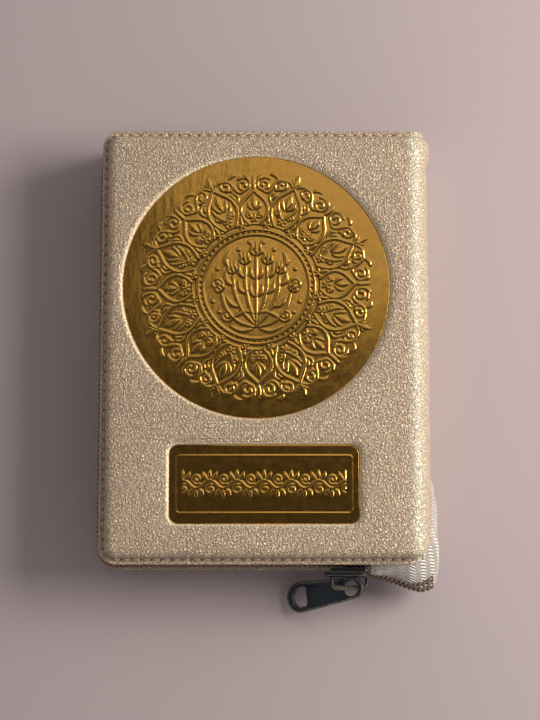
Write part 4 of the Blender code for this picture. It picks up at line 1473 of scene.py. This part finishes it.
def tab_slot(grown):
    """Return the D-shaped slot's outline grown outwards."""
    bow = arc_points((17.6, 0.0), 3.15 + grown, -68.0, 68.0, 22)
    top = arc_points((16.9, 2.3), 0.75 + grown, 90.0, 180.0, 7)
    foot = arc_points((16.9, -2.3), 0.75 + grown, 180.0, 270.0, 7)
    return np.concatenate([bow, top, foot])


def tab_hole(grown):
    """Return the round hole's outline grown outwards."""
    ring = arc_points((0.0, 0.0), 1.0, 0.0, 360.0, 41)[:-1]
    return ring * np.array([2.65 + grown, 2.42 + grown])


def loop_distance(loop, x, y):
    """Return how far a point lies inside a loop, negative outside."""
    following = np.roll(loop, -1, axis=0)
    run = following - loop
    rel = np.array([x, y]) - loop
    share = np.clip((rel * run).sum(1) / np.maximum((run ** 2).sum(1), 1e-12), 0.0, 1.0)
    gap = np.hypot(*(rel - run * share[:, None]).T).min()
    cross = (loop[:, 1] > y) != (following[:, 1] > y)
    hit = loop[:, 0] + (y - loop[:, 1]) * run[:, 0] / np.where(run[:, 1] == 0, 1e-12, run[:, 1])
    inside = np.count_nonzero(cross & (x < hit)) % 2 == 1
    return gap if inside else -gap


def bevelled_plate(outline, section, holes, place):
    """Return points, faces and edge wear of a plate with bevelled edges and holes."""
    solid = Gather()
    tops, bottoms = [], []
    for maker, steps, inward in [(outline, section, True)] + [(m, s, False) for m, s in holes]:
        loops = [(maker(offset), height) for offset, height in steps]
        points = np.concatenate([np.column_stack([loop, np.full(len(loop), h)]) for loop, h in loops])
        wear = np.concatenate([np.full(len(loop), 1.0 if abs(h) > 0.3 and k not in (0, len(loops) - 1)
                                       else 0.0) for k, (loop, h) in enumerate(loops)])
        faces = band_faces(len(loops), len(loops[0][0]), wrap=True, flip=not inward)
        solid.add(points, faces, wear)
        bottoms.append(loops[0])
        tops.append(loops[-1])
    for loops, flip in ((tops, False), (bottoms, True)):
        shapes = [loop for loop, _ in loops]

        def inside(x, y, shapes=shapes):
            gap = loop_distance(shapes[0], x, y)
            for shape in shapes[1:]:
                gap = min(gap, -loop_distance(shape, x, y))
            return gap

        flat, faces = fill_between(shapes[0], shapes[1:], BEVEL_FILL_STEP, inside)
        height = loops[0][1]
        points = np.column_stack([flat, np.full(len(flat), height)])
        solid.add(points, [face[::-1] for face in faces] if flip else faces, 0.0)
    placed = np.array([place(*point) for point in solid.all_points()])
    return placed, solid.faces, np.concatenate(solid.extra)


def tab_place(along, across, height):
    """Place a point of the tab's own frame in the book's frame."""
    pivot = np.array(JOINTS["tab_swing"]["pos_m"]) / MM
    cs, ss = math.cos(TAB_SLOPE), math.sin(TAB_SLOPE)
    ct, st = math.cos(TAB_TURN), math.sin(TAB_TURN)
    length_way = np.array([-ct * cs, -st, -ct * ss])
    width_way = np.array([-st * cs, ct, -st * ss])
    face_way = np.array([-ss, 0.0, cs])
    return pivot + along * length_way + across * width_way + height * face_way


class BOOK_OT_slider(bpy.types.Operator):
    """Build the zip slider, its bail and the pull tab"""
    bl_idname = "prayer_book.slider"
    bl_label = "Slider and Tab"

    def execute(self, context):
        holes = [(tab_slot, SLOT_EDGE), (tab_hole, HOLE_EDGE)]
        points, faces, wear = bevelled_plate(tab_outline, PLATE_EDGE + RAISED_RIM, holes, tab_place)
        tab = make_piece("tab_plate", points, faces, worn_paint("tab"), floats={"edge_wear": wear * TAB_WEAR})
        weld(tab)
        fit(tab, "pull_tab", ["pull_tab"])

        low, high = box_mm("slider_body")
        middle = (low.z + high.z) / 2
        body = Gather()
        for outer, base in ((True, low.y + 0.5), (False, high.y - 0.5)):
            def shield(inset):
                loop = rounded_loop(((low.x + high.x) / 2, 0.0), (high.x - low.x, high.z - low.z),
                                    WING_CORNER, -inset, 2.0, 8)
                share = (loop[:, 0] - low.x) / (high.x - low.x)
                loop[:, 1] *= 0.70 + 0.30 * share
                return loop

            def stand(x, rise, height, outer=outer, base=base):
                crown = 0.35 * (1 - (rise / 4.0) ** 2) if outer and height < 0 else 0.0
                flare = 0.03 * (x - low.x) if outer else 0.0
                return x, base + height - crown - flare, middle + rise
            points, faces, wear = bevelled_plate(shield, PLATE_EDGE, [], stand)
            body.add(points, [face[::-1] for face in faces], wear)
        for side in (1.0, -1.0):
            def lip(inset):
                return rounded_loop((LIP_X, 0.0), LIP_SIZE, 0.5, -inset, 2.0, 5)

            def curled(x, run, height, side=side):
                return x, LIP_Y + run, middle + side * (3.55 + 0.7 * height)
            points, faces, wear = bevelled_plate(lip, PLATE_EDGE, [], curled)
            body.add(points, faces if side > 0 else [face[::-1] for face in faces], wear)

        def post(inset):
            return rounded_loop((POST_X, 0.0), POST_SIZE, 0.24, -inset * 0.3, 2.0, 4)

        def between(x, rise, height):
            return x, (low.y + high.y) / 2 + height * 3.9, middle + rise
        points, faces, _ = bevelled_plate(post, PLATE_EDGE, [], between)
        body.add(points, [face[::-1] for face in faces], 0.0)
        shell = make_piece("slider_shell", body.all_points(), body.faces, worn_paint("slider"),
                           floats={"edge_wear": np.concatenate(body.extra)})
        weld(shell)
        fit(shell, "slider", ["slider_body"])

        low, high = box_mm("slider_bail")
        crown_y = low.y + 0.75
        left, right = low.x + 0.5, high.x - 0.5
        path = smooth_curve([(x, y, middle) for x, y in (
            (left, high.y - 0.1), (left, crown_y + 1.6), (left + 0.5, crown_y + 0.45),
            (left + 1.7, crown_y), ((left + right) / 2, crown_y - 0.05), (right - 1.7, crown_y),
            (right - 0.5, crown_y + 0.45), (right, crown_y + 1.6), (right, high.y - 0.1))], 6)
        share = np.linspace(0.0, 1.0, len(path))
        radius = BAIL_RADIUS + 0.30 * np.exp(-((share - 0.40) / 0.15) ** 2)
        points, faces = tube(path, radius, BAIL_SIDES)
        top = ease(points[:, 2], middle, middle + 0.4)
        points[:, 2] = middle + (points[:, 2] - middle) * 0.9
        wear = top * np.repeat(ease(share, 0.12, 0.3) * (1 - ease(share, 0.7, 0.88)), BAIL_SIDES)
        bail = make_piece("slider_bridge", points, faces, worn_paint("slider"), floats={"edge_wear": wear})
        fit(bail, "slider", ["slider_bail"])
        return {"FINISHED"}


class BOOK_OT_inner_stock(bpy.types.Operator):
    """Give the boards, foam, linings and endpapers their finishes"""
    bl_idname = "prayer_book.inner_stock"
    bl_label = "Boards and Linings"

    def execute(self, context):
        board = plain_stock("look_board", (0.30, 0.28, 0.25), (0.42, 0.39, 0.34), 700.0, 0.9, 0.00008)
        foam = plain_stock("look_foam", (0.80, 0.77, 0.68), (0.62, 0.58, 0.48), 1500.0, 0.95, 0.0002)
        cloth = plain_stock("look_lining", (0.20, 0.165, 0.14), (0.33, 0.28, 0.235), 900.0, 0.8,
                            0.00008, weave=0.0007)
        paper = plain_stock("look_endpaper", (0.60, 0.56, 0.47), (0.70, 0.66, 0.57), 500.0, 0.85, 0.00003)
        finishes = {
            "front_board": board, "back_board": board, "spine_stiffener": board, "front_pad": foam,
            "front_lining": cloth, "back_lining": cloth, "spine_lining": cloth,
            "front_endpaper": paper, "back_endpaper": paper,
        }
        for node, material in finishes.items():
            mesh = frame["nodes"][node].data
            mesh.materials.clear()
            mesh.materials.append(material)
        return {"FINISHED"}


def area_light(name, place, target, size, power, colour):
    """Add a soft square light aimed at a point; places are in metres."""
    data = bpy.data.lights.new(name, "AREA")
    data.shape = "RECTANGLE"
    data.size = data.size_y = size
    data.energy = power
    data.color = colour
    light = bpy.data.objects.new(name, data)
    bpy.context.scene.collection.objects.link(light)
    light.location = place
    aim = Vector(target) - Vector(place)
    light.rotation_euler = aim.to_track_quat("-Z", "Y").to_euler()


# The stage, in metres
FLOOR_HALF = 3.0
FLOOR_DROP = 0.0002
SKY_LEVELS = (0.50, 0.97)  # how far up the even light begins and ends to fade
SKY_SHARES = (1.5, 0.14)  # its strength at the horizon and overhead
LIGHTS = (  # name, place, target, size, setting that holds the power, colour
    ("key_light", (0.54, 0.10, 0.35), (0.0, 0.0, 0.02), 0.36, "key_power", (1.0, 0.95, 0.87)),
    ("top_light", (0.31, 0.60, 1.12), (0.31, 0.60, 0.0), 0.76, "top_power", (1.0, 0.96, 0.90)),
)
FIELD_HEIGHT = 0.2245  # what the camera takes in at the cover
AIM_X = 0.0021
CAMERA_SHIFT = -0.0248


class BOOK_OT_stage(bpy.types.Operator):
    """Set the floor, the soft lights and the camera"""
    bl_idname = "prayer_book.stage"
    bl_label = "Stage"

    def execute(self, context):
        stage = context.scene.book_stage
        mesh = bpy.data.meshes.new("floor")
        corners = ((-1, -1), (1, -1), (1, 1), (-1, 1))
        mesh.from_pydata([(x * FLOOR_HALF, y * FLOOR_HALF, 0) for x, y in corners], [], [(0, 1, 2, 3)])
        s = Shading("floor_paper")
        place = s.add("TexCoord").outputs["Object"]
        cloud = s.noise(3.0, 2.0, 0.5, place)
        colour = s.mix(s.span(cloud, 0.3, 0.7, 0.0, 0.12), stage.floor, (0.49, 0.405, 0.42))
        mesh.materials.append(s.finish(colour, 0.9, 0.0))
        floor = bpy.data.objects.new("floor", mesh)
        context.scene.collection.objects.link(floor)
        floor.location.z = -FLOOR_DROP

        world = bpy.data.worlds.new("soft_studio")
        context.scene.world = world
        world.use_nodes = True
        tree = world.node_tree
        ground = tree.nodes["Background"]
        way = tree.nodes.new("ShaderNodeTexCoord")
        parts = tree.nodes.new("ShaderNodeSeparateXYZ")
        tree.links.new(way.outputs["Generated"], parts.inputs[0])
        fade = tree.nodes.new("ShaderNodeMapRange")
        fade.interpolation_type = "SMOOTHSTEP"
        strengths = [share * stage.ambient for share in SKY_SHARES]
        for socket, value in zip(fade.inputs[1:5], (*SKY_LEVELS, *strengths)):
            socket.default_value = value
        tree.links.new(parts.outputs[2], fade.inputs[0])
        tree.links.new(fade.outputs[0], ground.inputs["Strength"])
        ground.inputs["Color"].default_value = (1.0, 0.97, 0.95, 1.0)

        for name, place, target, size, power, colour in LIGHTS:
            area_light(name, place, target, size, getattr(stage, power), colour)

        data = bpy.data.cameras.new("camera")
        data.sensor_fit = "VERTICAL"
        data.sensor_height = 36.0
        data.lens = data.sensor_height * stage.distance / FIELD_HEIGHT
        camera = bpy.data.objects.new("camera", data)
        context.scene.collection.objects.link(camera)
        target = Vector((AIM_X, 0.0, TOP_Z * MM))
        back = Vector((0.0, -math.sin(stage.tilt), math.cos(stage.tilt)))
        camera.location = target + back * stage.distance
        camera.rotation_euler = (stage.tilt, 0.0, 0.0)
        data.clip_end = 20.0
        data.shift_y = CAMERA_SHIFT
        context.scene.camera = camera
        context.scene.view_settings.view_transform = "Standard"
        return {"FINISHED"}


OPERATORS = (
    BOOK_OT_stage,
    BOOK_OT_front_cover,
    BOOK_OT_back_cover,
    BOOK_OT_spine,
    BOOK_OT_foils,
    BOOK_OT_leaves,
    BOOK_OT_zip_tapes,
    BOOK_OT_zip_coils,
    BOOK_OT_zip_tail,
    BOOK_OT_slider,
    BOOK_OT_inner_stock,
)


class BOOK_PT_panel(bpy.types.Panel):
    """Sidebar panel with the book's settings and its makers"""
    bl_label = "Prayer Book"
    bl_idname = "BOOK_PT_panel"
    bl_space_type = "VIEW_3D"
    bl_region_type = "UI"
    bl_category = "Prayer Book"

    def draw(self, context):
        layout = self.layout
        for name, group in SETTINGS.items():
            box = layout.box()
            for key in group.__annotations__:
                box.prop(getattr(context.scene, name), key)
        for operator in OPERATORS:
            layout.operator(operator.bl_idname)


def register():
    """Register the settings, the makers and the panel."""
    for name, group in SETTINGS.items():
        bpy.utils.register_class(group)
        setattr(bpy.types.Scene, name, PointerProperty(type=group))
    for operator in OPERATORS:
        bpy.utils.register_class(operator)
    bpy.utils.register_class(BOOK_PT_panel)


def unregister():
    """Undo register."""
    bpy.utils.unregister_class(BOOK_PT_panel)
    for operator in reversed(OPERATORS):
        bpy.utils.unregister_class(operator)
    for name, group in SETTINGS.items():
        delattr(bpy.types.Scene, name)
        bpy.utils.unregister_class(group)


def main():
    """Build the whole book."""
    register()
    for operator in OPERATORS:
        group, name = operator.bl_idname.split(".")
        getattr(getattr(bpy.ops, group), name)()


if __name__ == "__main__":
    main()
